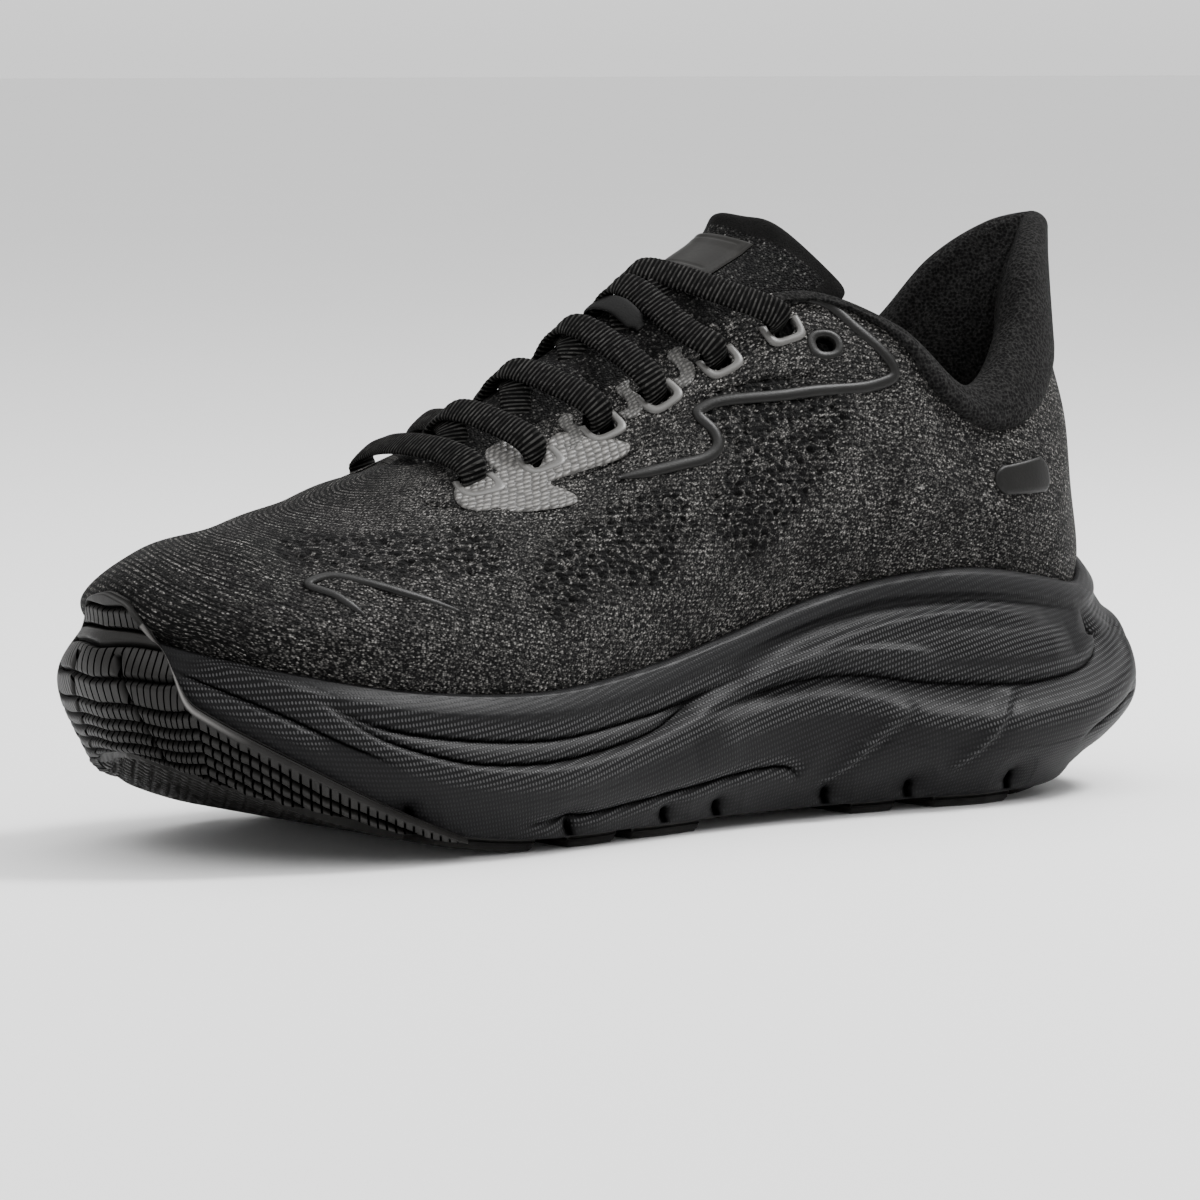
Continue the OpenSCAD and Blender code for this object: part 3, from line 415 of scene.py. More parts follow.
class Mat:
    """A material and short ways to add nodes to it. Lengths are in metres."""

    def __init__(self, name, color, rough, specular):
        self.mat = bpy.data.materials.new(name)
        self.mat.use_nodes = True
        self.mat.diffuse_color = (*color, 1)
        self.nodes, self.links = self.mat.node_tree.nodes, self.mat.node_tree.links
        self.bsdf = self.nodes["Principled BSDF"]
        self.coord = self.nodes.new("ShaderNodeTexCoord")
        self.put(self.bsdf, {"Base Color": color, "Roughness": rough, "Specular IOR Level": specular})

    def put(self, node, values):
        """Sets inputs of the node, or links them where the value is another node's output."""
        for key, value in values.items():
            socket = node.inputs[key]
            if isinstance(value, bpy.types.NodeSocket):
                self.links.new(value, socket)
            else:
                socket.default_value = (*value, 1) if socket.type == "RGBA" else value

    def new(self, kind, values, out=0, **settings):
        """A new node's output."""
        node = self.nodes.new("ShaderNode" + kind)
        for key, value in settings.items():
            setattr(node, key, value)
        self.put(node, values)
        return node.outputs[out]

    def where(self, kind="Object", scale=(1, 1, 1), turn=0):
        """Coordinates, scaled and turned about Z by degrees."""
        return self.new("Mapping", {"Scale": scale, "Rotation": (0, 0, math.radians(turn)),
            "Vector": self.coord.outputs[kind]})

    def noise(self, size, detail=3.0, vector=None):
        return self.new("TexNoise", {"Vector": vector or self.where(), "Scale": 1 / size, "Detail": detail}, "Fac")

    def cells(self, size, out="Distance", vector=None, random=1.0, dimensions="3D"):
        values = {"Vector": vector or self.where(), "Scale": 1 / size, "Randomness": random}
        return self.new("TexVoronoi", values, out, voronoi_dimensions=dimensions)

    def wave(self, period, vector, distort=0.0, detail=1.0):
        scale = 2 * math.pi / (20 * period)
        values = {"Vector": vector, "Scale": scale, "Distortion": distort, "Detail": detail}
        return self.new("TexWave", values, "Fac")

    def attribute(self, name):
        return self.new("Attribute", {}, "Fac", attribute_name=name)

    def math(self, op, a, b, clamp=False):
        return self.new("Math", {0: a, 1: b}, operation=op, use_clamp=clamp)

    def times(self, a, b, clamp=False):
        return self.math("MULTIPLY", a, b, clamp)

    def invert(self, a):
        return self.math("SUBTRACT", 1.0, a)

    def ramp(self, value, *stops):
        """Maps a value to greys through stops (place, level)."""
        node = self.nodes.new("ShaderNodeValToRGB")
        points = node.color_ramp.elements
        while len(points) < len(stops):
            points.new(0.5)
        for point, (position, level) in zip(points, stops):
            point.position, point.color = position, (*grey(level), 1)
        self.put(node, {"Fac": value})
        return node.outputs["Color"]

    def mix(self, factor, a, b):
        return self.new("Mix", {0: factor, 6: a, 7: b}, 2, data_type="RGBA")

    def bump(self, height, depth, after=None):
        values = {"Height": height, "Distance": depth}
        return self.new("Bump", values | ({"Normal": after} if after else {}), "Normal")

    def done(self, color, normal, rough=None, specular=None):
        values = {"Base Color": color, "Normal": normal, "Roughness": rough, "Specular IOR Level": specular}
        self.put(self.bsdf, {key: value for key, value in values.items() if value is not None})
        return self.mat


def foam_material():
    m = Mat("foam", (0.006, 0.006, 0.0065), 0.45, 0.13)
    cloud, grain = m.noise(20 * MM, 4), m.noise(0.5 * MM, 2)
    hatch, satin, crease = m.attribute("hatch"), m.attribute("satin"), m.attribute("crease")
    ticks = m.wave(0.9 * MM, m.where("UV", turn=14), 0.4)
    rows = m.wave(1.25 * MM, m.where("UV", turn=104), 0.4)
    dots = m.ramp(m.times(ticks, rows), (0.2, 0.0), (0.65, 1.0))
    dots = m.times(dots, m.math("MAXIMUM", hatch, 0.12))
    color = m.mix(cloud, (0.0023, 0.0022, 0.0025), (0.004, 0.0039, 0.0043))
    # Painted highlight: the satin band along the top bevel is painted lighter, and it is also a little less rough.
    color = m.mix(m.times(satin, 0.8), color, (0.008, 0.008, 0.0084))
    color = m.mix(m.times(dots, 0.8), color, (0.07, 0.07, 0.0715))
    # Painted shade: the creases and the notches between the pads are painted near-black and lose most of their
    # specular.
    color = m.mix(crease, color, grey(0.0004))
    rough = m.math("ADD", m.times(m.noise(6 * MM, 3), 0.14), 0.44)
    rough = m.math("SUBTRACT", rough, m.times(satin, 0.05))
    normal = m.bump(grain, 0.05 * MM)
    normal = m.bump(dots, 0.4 * MM, normal)
    return m.done(color, normal, rough, m.times(m.invert(crease), 0.11))


def rubber_material():
    m = Mat("rubber", (0.009, 0.0085, 0.008), 0.5, 0.2)
    cloud, grain = m.noise(7 * MM, 4), m.noise(0.35 * MM, 3)
    fine = m.ramp(m.wave(2.5 * MM, m.where("UV")), (0.84, 0.0), (0.95, 1.0))
    coarse = m.ramp(m.wave(2.3 * MM, m.where("UV")), (0.8, 0.0), (0.93, 1.0))
    sipe, grid = m.times(fine, m.attribute("sipe")), m.times(coarse, m.attribute("grid"))
    sipe = m.math("MAXIMUM", sipe, grid)
    cut = m.math("MAXIMUM", sipe, m.attribute("groove"))
    color = m.mix(cloud, (0.006, 0.0056, 0.0052), (0.015, 0.0142, 0.0132))
    # Painted shade: the sipes, the grid lines and the grooves are painted near-black and lose their specular.
    color = m.mix(cut, color, grey(0.0003))
    # Painted highlight along the toe cap's rear edge.
    color = m.mix(m.attribute("edge"), color, (0.16, 0.155, 0.15))
    rough = m.math("ADD", m.times(m.noise(4 * MM, 3), 0.2), 0.4)
    normal = m.bump(m.invert(sipe), 0.9 * MM, m.bump(grain, 0.06 * MM))
    return m.done(color, normal, rough, m.times(m.invert(cut), 0.2))


def knit_material(name, dark, light, cell, kind="UV", glint_cutoff=0.35):
    """Knitted yarn: fine short stitches in slanted rows, each given a painted glint of its own strength, as if caught
    by the light differently.
    """
    m = Mat(name, dark, 0.75, 0.08)
    place = m.where(kind, scale=(0.75, 1, 1), turn=12)
    stitch, glint = m.cells(cell, vector=place, random=0.8), m.cells(cell, "Color", vector=place, random=0.8)
    course = m.wave(1.25 * MM, m.where(kind, turn=78), 3.0, 2.0)
    cloud = m.ramp(m.noise(9 * MM, 5), (0.3, 0.45), (0.7, 1.0))
    # Painted glints: single stitches are lit in the light colour.
    painted_glints = m.ramp(glint, (glint_cutoff, 0.0), (glint_cutoff + 0.3, 0.35), (0.9, 1.0))
    body = m.ramp(stitch, (0.2, 1.0), (0.7, 0.1))
    painted_glints = m.times(m.times(painted_glints, body), m.times(cloud, m.math("ADD", m.times(course, 0.6), 0.4)))
    spots = m.ramp(m.cells(2.1 * MM, vector=m.where(scale=(1, 1, 1.25)), random=0.8), (0.4, 1.0), (0.52, 0.0))
    # Painted shade: the vent holes are painted near-black for the shade inside them.
    hole_shade = m.times(m.attribute("vent"), spots, clamp=True)
    lines = m.ramp(m.wave(1.5 * MM, m.where(kind, turn=78), 0.6), (0.25, 0.0), (0.6, 1.0))
    painted_glints = m.times(painted_glints, m.invert(m.times(m.attribute("rows"), m.invert(lines))))
    color = m.mix(hole_shade, m.mix(painted_glints, dark, light), grey(0.0005))
    height = m.math("ADD", m.times(body, 0.6), m.times(course, 0.5))
    return m.done(color, m.bump(height, 0.3 * MM))


def lining_material():
    """Brushed mesh: small dark pits between soft threads."""
    m = Mat("lining", grey(0.004), 0.85, 0.06)
    pits, fuzz = m.cells(0.95 * MM, random=0.75), m.noise(0.5 * MM, 4)
    thread = m.times(m.ramp(pits, (0.25, 0.0), (0.7, 1.0)), m.ramp(fuzz, (0.35, 0.2), (0.65, 1.0)))
    tint = m.mix(m.noise(8 * MM, 3), grey(0.0015), grey(0.003))
    color = m.mix(thread, tint, (0.022, 0.0215, 0.021))
    return m.done(color, m.bump(thread, 0.25 * MM))


def soft_material():
    m = Mat("soft_knit", grey(0.004), 0.85, 0.05)
    fuzz, cloud = m.noise(0.4 * MM, 4), m.noise(7 * MM, 3)
    color = m.mix(m.times(fuzz, cloud), grey(0.0012), (0.02, 0.0195, 0.019))
    return m.done(color, m.bump(fuzz, 0.25 * MM))


def lace_material():
    m = Mat("lace", grey(0.003), 0.7, 0.03)
    yarn = m.cells(0.45 * MM, "Color", vector=m.where("UV", scale=(0.5, 1, 1)))
    crest = m.ramp(m.attribute("rib"), (0.45, 0.0), (0.95, 1.0))
    # Painted highlight on the crest of each rib.
    rib_highlight = m.times(crest, m.ramp(yarn, (0.2, 0.25), (0.9, 1.0)))
    color = m.mix(rib_highlight, grey(0.0006), (0.045, 0.044, 0.042))
    fibre = m.noise(0.25 * MM, 2, m.where("UV", scale=(1, 0.3, 1)))
    return m.done(color, m.bump(fibre, 0.12 * MM))


def film_material(name, dark, light, rough, print_size):
    """Smooth film welded over knit, whose texture shows through it."""
    m = Mat(name, dark, rough, 0.3)
    cloud = m.noise(5 * MM, 3)
    under = m.cells(print_size, vector=m.where("UV", scale=(0.6, 1, 1)), random=0.35, dimensions="2D")
    tint = m.mix(cloud, dark, light)
    color = m.mix(m.ramp(under, (0.15, 0.0), (0.5, 0.9)), tint, tuple(0.35 * c for c in dark))
    return m.done(color, m.bump(m.ramp(under, (0.1, 1.0), (0.6, 0.0)), 0.35 * MM))


def plain_material(name, dark, light, rough, grain=0.6 * MM, depth=0.05 * MM):
    m = Mat(name, dark, rough, 0.14)
    color = m.mix(m.noise(6 * MM, 4), dark, light)
    return m.done(color, m.bump(m.noise(grain, 3), depth))


foam_mat = foam_material()
rubber_mat = rubber_material()
knit_mat = knit_material("knit", grey(0.0015), (0.4, 0.386, 0.367), 0.42 * MM)
# The tongue's own knit, with glints painted dimmer than the upper's, which also stands in for the shade between the
# laces.
tongue_mat_shaded = knit_material("tongue_knit_shaded", grey(0.0015), (0.16, 0.156, 0.149), 0.5 * MM, "Object", 0.48)
lining_mat = lining_material()
soft_mat = soft_material()
lace_mat = lace_material()
grey_mat = film_material("grey_film", (0.1, 0.096, 0.091), (0.2, 0.193, 0.183), 0.42, 1.3 * MM)
rim_mat = film_material("rim_film", (0.09, 0.0875, 0.083), (0.15, 0.146, 0.139), 0.4, 0.9 * MM)
weld_mat = plain_material("weld", (0.0042, 0.0041, 0.0038), (0.009, 0.0088, 0.0083), 0.42)
label_mat = plain_material("label", (0.004, 0.0038, 0.0033), (0.011, 0.0102, 0.009), 0.42, 0.8 * MM, 0.03 * MM)
keeper_mat = plain_material("keeper", grey(0.0008), (0.0025, 0.0025, 0.0024), 0.75, 0.5 * MM, 0.08 * MM)
tip_mat = plain_material("tip", grey(0.008), grey(0.014), 0.2)
board_mat = plain_material("board", (0.02, 0.019, 0.018), (0.035, 0.033, 0.03), 0.9, 0.4 * MM, 0.2 * MM)
stiff_mat = plain_material("stiffener", grey(0.006), grey(0.012), 0.7, 0.5 * MM, 0.1 * MM)
sock_mat = knit_material("sock_fabric", (0.004, 0.004, 0.0045), (0.05, 0.05, 0.052), 1.0 * MM, "Object")


def place(obj, *nodes, slot, body="shoe"):
    """Rides the piece on a body, instead of these CAD nodes. The slot is not used."""
    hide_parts(*nodes)
    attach(obj, body)
    return obj


# ---- Sole ----

# Lines on the side of the midsole, as places [stations from the heel, v on the wall].
BEVEL = [[0.2, 1.86], [1.5, 1.86], [2.7, 1.84], [4.4, 1.87], [5.3, 1.9], [6.2, 1.88], [7.4, 1.83], [8.5, 1.77],
    [9.4, 1.73], [10.2, 1.7], [11, 1.7], [11.9, 1.82]]
GROOVE_A = [[10.8, 1.6], [10.3, 1.47], [9.9, 1.45], [9.45, 1.46], [8.9, 1.49], [8.25, 1.56], [7.5, 1.62], [6.9, 1.68]]
GROOVE_B = [[10.8, 1.54], [10.3, 1.28], [9.75, 1.15], [9.5, 1.15], [9.05, 1.21], [8.55, 1.31], [8, 1.42],
    [7.6, 1.56], [7.3, 1.66]]
HATCH_CREST = [[12, 1.8], [11.5, 1.7], [10.9, 1.5], [10.3, 1.18], [9.75, 1.03], [8.95, 1.08], [8.05, 1.3],
    [7.5, 1.43], [7, 1.54], [6.3, 1.63], [5.7, 1.66]]
CAP_RIDGE = [[12.1, 1.42], [11.6, 1.22], [11.2, 1.09], [10.75, 0.95]]
CAP_VALLEY = [[12.2, 1.55], [11.7, 1.42], [11.2, 1.27], [10.7, 1.05], [10.2, 0.9]]
POD_TOP = [[7, 1.84], [6, 1.83], [5, 1.84], [4.1, 1.82], [3.2, 1.8], [2.6, 1.75]]
POD_RIDGE = [[6.96, 1.66], [6, 1.69], [5.2, 1.72], [4.4, 1.73], [3.9, 1.72], [3.4, 1.68]]
POD_RIDGE_2 = [[6.97, 1.59], [6.3, 1.61], [5.7, 1.6], [5.1, 1.54], [4.7, 1.48]]
POD_LOWER = [[7.5, 1.45], [7, 1.48], [6.6, 1.51], [6.05, 1.5], [5.5, 1.45], [4.9, 1.36], [4.3, 1.31], [3.7, 1.28],
    [3.1, 1.31], [2.65, 1.4], [2.42, 1.52], [2.38, 1.64], [2.45, 1.76]]
POD_BODY = [[6.6, 1.6], [5.5, 1.58], [4.5, 1.55], [3.6, 1.53], [3, 1.54]]
SHOULDER = [[7.6, 1.21], [7, 1.33], [6.26, 1.36], [5.5, 1.26], [4.95, 1.11], [4.3, 1.03], [3.7, 1.02], [3, 1.06],
    [2.3, 1.2], [1.8, 1.4], [1.3, 1.5], [0.1, 1.52]]
SHOULDER_MID = [[7.4, 1.33], [7, 1.4], [6.2, 1.43], [5.5, 1.35], [4.95, 1.23], [4.3, 1.16], [3.7, 1.14], [3, 1.19],
    [2.5, 1.32], [2.15, 1.5], [2, 1.7]]
DIAGONAL_1 = [[5.05, 1.22], [5.3, 1.1], [5.56, 0.94], [5.85, 0.66], [6.15, 0.34]]
DIAGONAL_2 = [[3.9, 1.27], [4.15, 1.07], [4.4, 0.78], [4.66, 0.44]]
WAVE = [[9.3, 0.2], [8.76, 0.3], [7.86, 0.55], [7.1, 0.74], [6.66, 0.79], [6.45, 0.74], [6.35, 0.6]]
REAR_POCKET = [[3.1, 0.62], [2.7, 0.8], [2.3, 0.92], [2.05, 0.98]]
REAR_FOLD = [[2.25, 1.85], [1.9, 1.7], [1.6, 1.45], [1.7, 1.2], [2, 1.05], [2.6, 0.9]]

# The relief: line, form, its height and how far it runs out up and down the wall, all in mm, then how far it
# reaches, in mm, and how soon it fades at its ends.
RELIEF = [
    (BEVEL, ridge, (1.5, 6, 1.6), 9, 0.03), (GROOVE_A, groove, (1.7, 0.7, 2.6), 9, 0.12),
    (GROOVE_B, groove, (2.1, 0.7, 2.8), 9, 0.12), (HATCH_CREST, ridge, (1.3, 2.2, 4), 9, 0.08),
    (CAP_RIDGE, ridge, (1.6, 1.2, 2.6), 7, 0.2), (CAP_VALLEY, groove, (1.4, 3, 3), 9, 0.2),
    (POD_TOP, groove, (1.5, 1.3, 3.5), 9, 0.15), (POD_RIDGE, ridge, (1.7, 1.6, 2.4), 8, 0.2),
    (POD_RIDGE_2, ridge, (1.4, 1.3, 1.8), 8, 0.2), (POD_BODY, ridge, (1.6, 7, 7), 14, 0.15),
    (POD_LOWER, groove, (2.8, 1.6, 5.5), 16, 0.1), (SHOULDER, ridge, (1.8, 3.2, 6), 14, 0.06),
    (DIAGONAL_1, ridge, (1.4, 3, 0.8), 8, 0.15), (DIAGONAL_1, groove, (1.3, 0.3, 2.2), 8, 0.15),
    (DIAGONAL_2, ridge, (1.4, 3, 0.8), 8, 0.15), (DIAGONAL_2, groove, (1.3, 0.3, 2.2), 8, 0.15),
    (WAVE, groove, (1.5, 2.4, 0.9), 8, 0.12), (REAR_POCKET, groove, (1.4, 1.4, 1.4), 8, 0.2),
    (REAR_FOLD, groove, (0.5, 2.6, 2.6), 9, 0.25),
]
# Stations where the foam's lower edge steps up between the rubber pads.
STEPS = [10.15, 8.75, 7.75, 7.15, 5.9, 4.95, 3.75, 2.2]
RELIEF += [([[k, 0.0], [k + 0.03, 0.22]], groove, (2.6, 2.4, 2.4), 7, 0.0) for k in STEPS]
# Sharp folds along the bottom of the channels, where shade is painted dark into the foam.
SHADED_CREASES = [GROOVE_A, GROOVE_B, POD_LOWER, WAVE, CAP_VALLEY, REAR_POCKET]
# Where the foam is printed with fine ticks: line, half width in mm, fade at its ends.
HATCHED = [(HATCH_CREST, 3.2, 0.05), (GROOVE_A, 3.4, 0.06), (GROOVE_B, 2.6, 0.06), (POD_RIDGE, 2.6, 0.1),
    (POD_RIDGE_2, 2.2, 0.1), (SHOULDER_MID, 5.4, 0.06), (POD_LOWER, 3.0, 0.06), (POD_BODY, 3.0, 0.1),
    (WAVE, 2.0, 0.1), (REAR_POCKET, 3.0, 0.1), (REAR_FOLD, 2.6, 0.1), (CAP_RIDGE, 2.0, 0.1),
    (DIAGONAL_1, 1.0, 0.1), (DIAGONAL_2, 1.0, 0.1)]


def wall_relief(points):
    """How far the sculpted side of the midsole stands out of its smooth wall."""
    return sum(profile_along(points, wall, path, reach * MM, form(*(k * MM for k in sizes)), ends)
               for path, form, sizes, reach, ends in RELIEF)


def hatch_mask(points):
    return np.max([profile_along(points, wall, path, 8 * MM, band(half * MM, 1.4 * MM), ends)
                   for path, half, ends in HATCHED], axis=0)


def crease_shade_mask(points):
    """Painted shade: where light hardly reaches, the bottom of the folds and the notches between the pads."""
    folds = [profile_along(points, wall, path, 3 * MM, band(0.15 * MM, 0.6 * MM), 0.15) for path in SHADED_CREASES]
    notches = [profile_along(points, wall, [[k, 0.0], [k + 0.02, 0.17]], 3 * MM, band(0.8 * MM, 1.3 * MM), 0.0)
               for k in STEPS]
    return clip01(np.max(folds, axis=0) + sum(notches))


def ring(skin, v, cols):
    u = np.arange(cols) * STATIONS / cols
    return skin.at(u, np.full(cols, v))


def shrink(loop, f):
    """The outline shrunk towards the line along its middle."""
    n = len(loop)
    i = np.arange(n)
    mate = (n - i) % n
    mid = (loop + loop[mate]) / 2
    mid[0], mid[n // 2] = mid[1], mid[n // 2 - 1]
    return loop + (mid - loop) * f


def midsole():
    cols, rows = STATIONS * 38, 140
    u, v = np.arange(cols) * STATIONS / cols, np.linspace(0.03, 2, rows)
    uu, vv = np.meshgrid(u, v)
    base, normal = wall.at(uu, vv), wall.normal(uu, vv)
    flat = base.reshape(-1, 3)
    # The relief dies away at the bottom edge and at the rim.
    calm = clip01(vv / 0.12) * clip01((2 - vv) / 0.04)
    side = base + normal * (wall_relief(flat).reshape(rows, cols) * calm)[..., None]
    hatch = hatch_mask(flat)
    crease = crease_shade_mask(flat)
    run, rise = lengths(base, 1)[rows // 2], lengths(base, 0)
    bevel = curve_at(BEVEL, np.linspace(0, len(BEVEL) - 1, 200))
    bevel_v = np.interp(from_heel(uu), bevel[:, 0], bevel[:, 1])
    # The satin band above the bevel line, which the foam material paints lighter as a highlight and makes less rough.
    satin = clip01((vv - bevel_v) / 0.05 + 0.5) * clip01((1.985 - vv) / 0.02)
    # Underside: a rounded edge, then in to the middle, with a channel along it.
    ground = ring(wall, 0.0, cols)
    under = []
    for f in (1.0, 0.9, 0.75, 0.6, 0.45, 0.3, 0.18, 0.1, 0.05, 0.02, 0.006):
        row = shrink(ground, f * 0.985)
        x, y = row[:, 0], row[:, 1]
        reach = clip01((x + 60 * MM) / (30 * MM)) * clip01((95 * MM - x) / (25 * MM))
        channel = 5 * MM * bell(y - 1 * MM, 9 * MM) * reach
        row[:, 2] = rocker(x) + channel + (0.25 * MM if f < 0.01 else 0)
        under.append(row)
    rim = ring(wall, 2.0, cols)
    lip = inset(rim, 0.9 * MM)
    lip[:, 2] += 0.1 * MM
    inner = inset(rim, 1.6 * MM)
    inner[:, 2] -= 1.2 * MM
    floor = inset(rim, 5 * MM)
    floor[:, 2] = bed(floor[:, 0])
    all_rows = np.concatenate([np.array(under), side, np.array([lip, inner, floor])])
    m = len(all_rows)
    faces = grid_faces(m, cols).tolist() + cap_faces(cols, 0) + cap_faces(cols, (m - 1) * cols, flip=True)
    uv = np.zeros((m, cols, 2))
    uv[..., 0] = run
    uv[len(under):-3, :, 1] = rise
    fill = lambda values: np.concatenate([np.zeros(len(under) * cols), values.ravel(), np.zeros(3 * cols)])
    return new_piece("midsole_foam", all_rows, faces, foam_mat, uv=uv,
        attributes={"hatch": fill(hatch), "satin": fill(satin), "crease": fill(crease)})


# The cap's upper edge: stations from the toe's tip and v.
CAP_TOP = [[0, 3.0], [0.38, 2.9], [0.62, 2.1], [0.9, 1.35], [1.05, 0.95], [1.4, 0.78], [2, 0.55], [3.05, 0.12],
    [3.3, -0.01]]
CAP_REACH = 3.3
# The rubber edge's distance down from the top takes about this much per v.
CAP_V = 22 * MM
CAP_T = 2.5 * MM


def cap_top(u):
    d = np.abs(u - TOE)
    return np.interp(d, *np.array(CAP_TOP).T)


# Heights of the grooves across the toe; the blocks above SIPED are cut closely, those below form a grid.
TOE_ROWS = [58.5, 53, 48.5, 42.5, 37, 33.2, 30.4, 27.6, 24.8, 22, 19.2, 16.4, 13.6, 10.8, 8]
SIPED = 37 * MM


def sheet_border(rows, cols):
    """The edges round a grid of points, in order."""
    return ([(i, i + 1) for i in range(cols - 1)]
            + [(i * cols + cols - 1, (i + 1) * cols + cols - 1) for i in range(rows - 1)]
            + [((rows - 1) * cols + i + 1, (rows - 1) * cols + i) for i in range(cols - 1)]
            + [((i + 1) * cols, i * cols) for i in range(rows - 1)])


def slab(name, outer, inner, mat, **values):
    """A sheet with an outer and an inner face, both grids of the same size, closed round its edge."""
    rows, cols = outer.shape[:2]
    k = rows * cols
    faces = grid_faces(rows, cols, around_u=False).tolist()
    faces += [[q + k for q in f[::-1]] for f in faces]
    faces += [[b, a, a + k, b + k] for a, b in sheet_border(rows, cols)]
    return new_piece(name, np.concatenate([outer.reshape(-1, 3), inner.reshape(-1, 3)]), faces, mat, **values)


def toe_cap():
    """Rubber over the toe: blocks parted by cross grooves, fine sipes above and a grid of small squares below."""
    cols, rows = 680, 150
    u = np.linspace(TOE - CAP_REACH, TOE + CAP_REACH, cols)
    kernel = np.hanning(25) / np.hanning(25).sum()
    top = np.convolve(np.pad(cap_top(u), 12, mode="edge"), kernel, mode="valid")
    f = np.linspace(0, 1, rows)[:, None]
    low = -0.04 - 0.1 * clip01((2.2 - np.abs(u - TOE)) / 0.7)[None]
    vv = low + (top[None] - low) * f
    uu = np.broadcast_to(u, vv.shape)
    base, normal = cap_skin.at(uu, vv), cap_skin.normal(uu, vv)
    run = lengths(base, 1)[rows // 2]
    x = np.abs(run - run[cols // 2])[None]
    z = base[..., 2]
    # Rows run level round the toe, and along the cap's border further back.
    h = z + SIPED - np.minimum(SIPED, base[-1:, :, 2])
    level = np.array(TOE_ROWS) * MM + 0.5 * MM * np.sin(x / (6 * MM))[..., None]
    row_cut = bell(np.abs(h[..., None] - level).min(-1), 0.5 * MM)
    slant = np.abs(x - (8 * MM + 0.55 * (46 * MM - h)))
    slant_cut = bell(slant, 0.9 * MM) * (h < 47 * MM) * (h > 16 * MM)
    # Distance in from the upper edge and the ends, and from the lower edge too.
    border = np.minimum((1 - f) * (top[None] + 0.05) * CAP_V, np.minimum(run - run[0], run[-1] - run)[None])
    inward = np.minimum(border, f * 20 * MM)
    calm = clip01((border - 1.2 * MM) / (0.8 * MM))
    cut = np.maximum(row_cut, slant_cut) * calm
    # Blocks on the way back step out like lugs.
    lugs = 0.5 + 0.5 * np.sin(2 * np.pi * x / (6.3 * MM) + np.pi * np.round(h / (5.6 * MM)))
    lugs = clip01((lugs - 0.5) * 4) * clip01((x - 38 * MM) / (6 * MM))
    thick = CAP_T - 1.5 * MM * cut + 0.25 * MM * lugs * (1 - cut) * calm
    thick = 0.15 * MM + thick * (0.3 + 0.7 * clip01(inward / (0.9 * MM)) ** 0.5)
    plain = ((h > 48.5 * MM) & (h < 53 * MM)) | (h > 58.5 * MM)
    # Painted highlight: the rear edge is painted lighter where it stands clear of the foam and would catch the light.
    edge = bell(border - 0.5 * MM, 0.35 * MM) * clip01((z - 30 * MM) / (8 * MM)) * (x > 14 * MM)
    # Besides their bumps, the sipe and grid masks paint shade into their lines; the groove mask only paints shade.
    values = {"sipe": ((h > SIPED) & ~plain) * calm, "grid": (h <= SIPED) * calm, "groove": cut * calm, "edge": edge}
    uv = np.stack([np.broadcast_to(run, h.shape), h], -1)
    return slab("toe_cap_rubber", base + normal * thick[..., None], base + normal * 0.15 * MM, rubber_mat,
        uv=np.concatenate([uv, uv]),
        attributes={key: np.concatenate([a.ravel(), np.zeros(h.size)]) for key, a in values.items()})


def edge_y(x, side):
    half = ground_line[:TOE + 1] if side < 0 else np.roll(ground_line[::-1], 1, 0)[:TOE + 1]
    order = half[:, 0].argsort()
    return np.interp(x, half[order, 0], half[order, 1])


# Pads under the sole: where they start and end, and which part of the width they cover, 0 being medial.
PADS = {
    "outsole_front_tread": (-143, -92, 0.0, 1.0), "pad_fore_medial_1": (-88, -58, 0.02, 0.46),
    "pad_fore_lateral_1": (-88, -58, 0.54, 0.98), "pad_fore_medial_2": (-49, -32, 0.02, 0.45),
    "pad_fore_lateral_2": (-49, -32, 0.55, 0.98), "pad_fore_medial_3": (-28, -4, 0.02, 0.4),
    "pad_fore_lateral_3": (-28, -4, 0.6, 0.98), "pad_mid_medial": (44, 58, 0.03, 0.3),
    "pad_heel_medial": (68, 94, 0.02, 0.4), "pad_heel_lateral": (60, 94, 0.6, 0.98),
    "pad_heel_rear": (98, 126, 0.1, 0.9),
}
LINE_GAP, SLOT_GAP = 4 * MM, 5 * MM


def pad(name, x0, x1, f0, f1):
    """A rubber pad with rounded corners, bevelled edges and lines of small cuts."""
    n = 72
    a, b = np.meshgrid(np.linspace(-1, 1, n), np.linspace(-1, 1, n), indexing="ij")
    # A square grid pressed into a rounded rectangle.
    ra, rb = a * np.sqrt(1 - 0.1 * b**2), b * np.sqrt(1 - 0.1 * a**2)
    x = (x0 + (x1 - x0) * (ra + 1) / 2) * MM
    f = f0 + (f1 - f0) * (rb + 1) / 2
    y = edge_y(x, MEDIAL) * (1 - f) + edge_y(x, LATERAL) * f
    width, length = (x1 - x0) * MM, np.ptp(y)
    inward = np.minimum((1 - np.abs(a)) * width / 2, (1 - np.abs(b)) * length / 2)
    bevel = clip01(inward / (1.2 * MM)) ** 0.5
    lines = np.abs((y / LINE_GAP) % 1 - 0.5) * LINE_GAP
    slots = np.abs((ra * width / 2 / SLOT_GAP + 0.5 * (np.floor(y / LINE_GAP) % 2)) % 1 - 0.5) * SLOT_GAP
    cut = np.maximum(bell(lines, 0.6 * MM), 0.8 * bell(slots, 0.6 * MM))
    cut = cut * clip01((inward - 1.5 * MM) / (1 * MM))
    thick = PAD_T * (0.35 + 0.65 * bevel) - 1.5 * MM * cut
    low = np.stack([x, y, rocker(x) - thick], -1)
    high = np.stack([x, y, rocker(x) + 0.2 * MM], -1)
    # Painted shade in the cuts, on the pad's outer face only.
    groove_shade_map = np.concatenate([cut.ravel(), 0 * cut.ravel()])
    place(slab(name + "_lugs", low, high, rubber_mat, attributes={"groove": groove_shade_map}), name, slot="rubber")


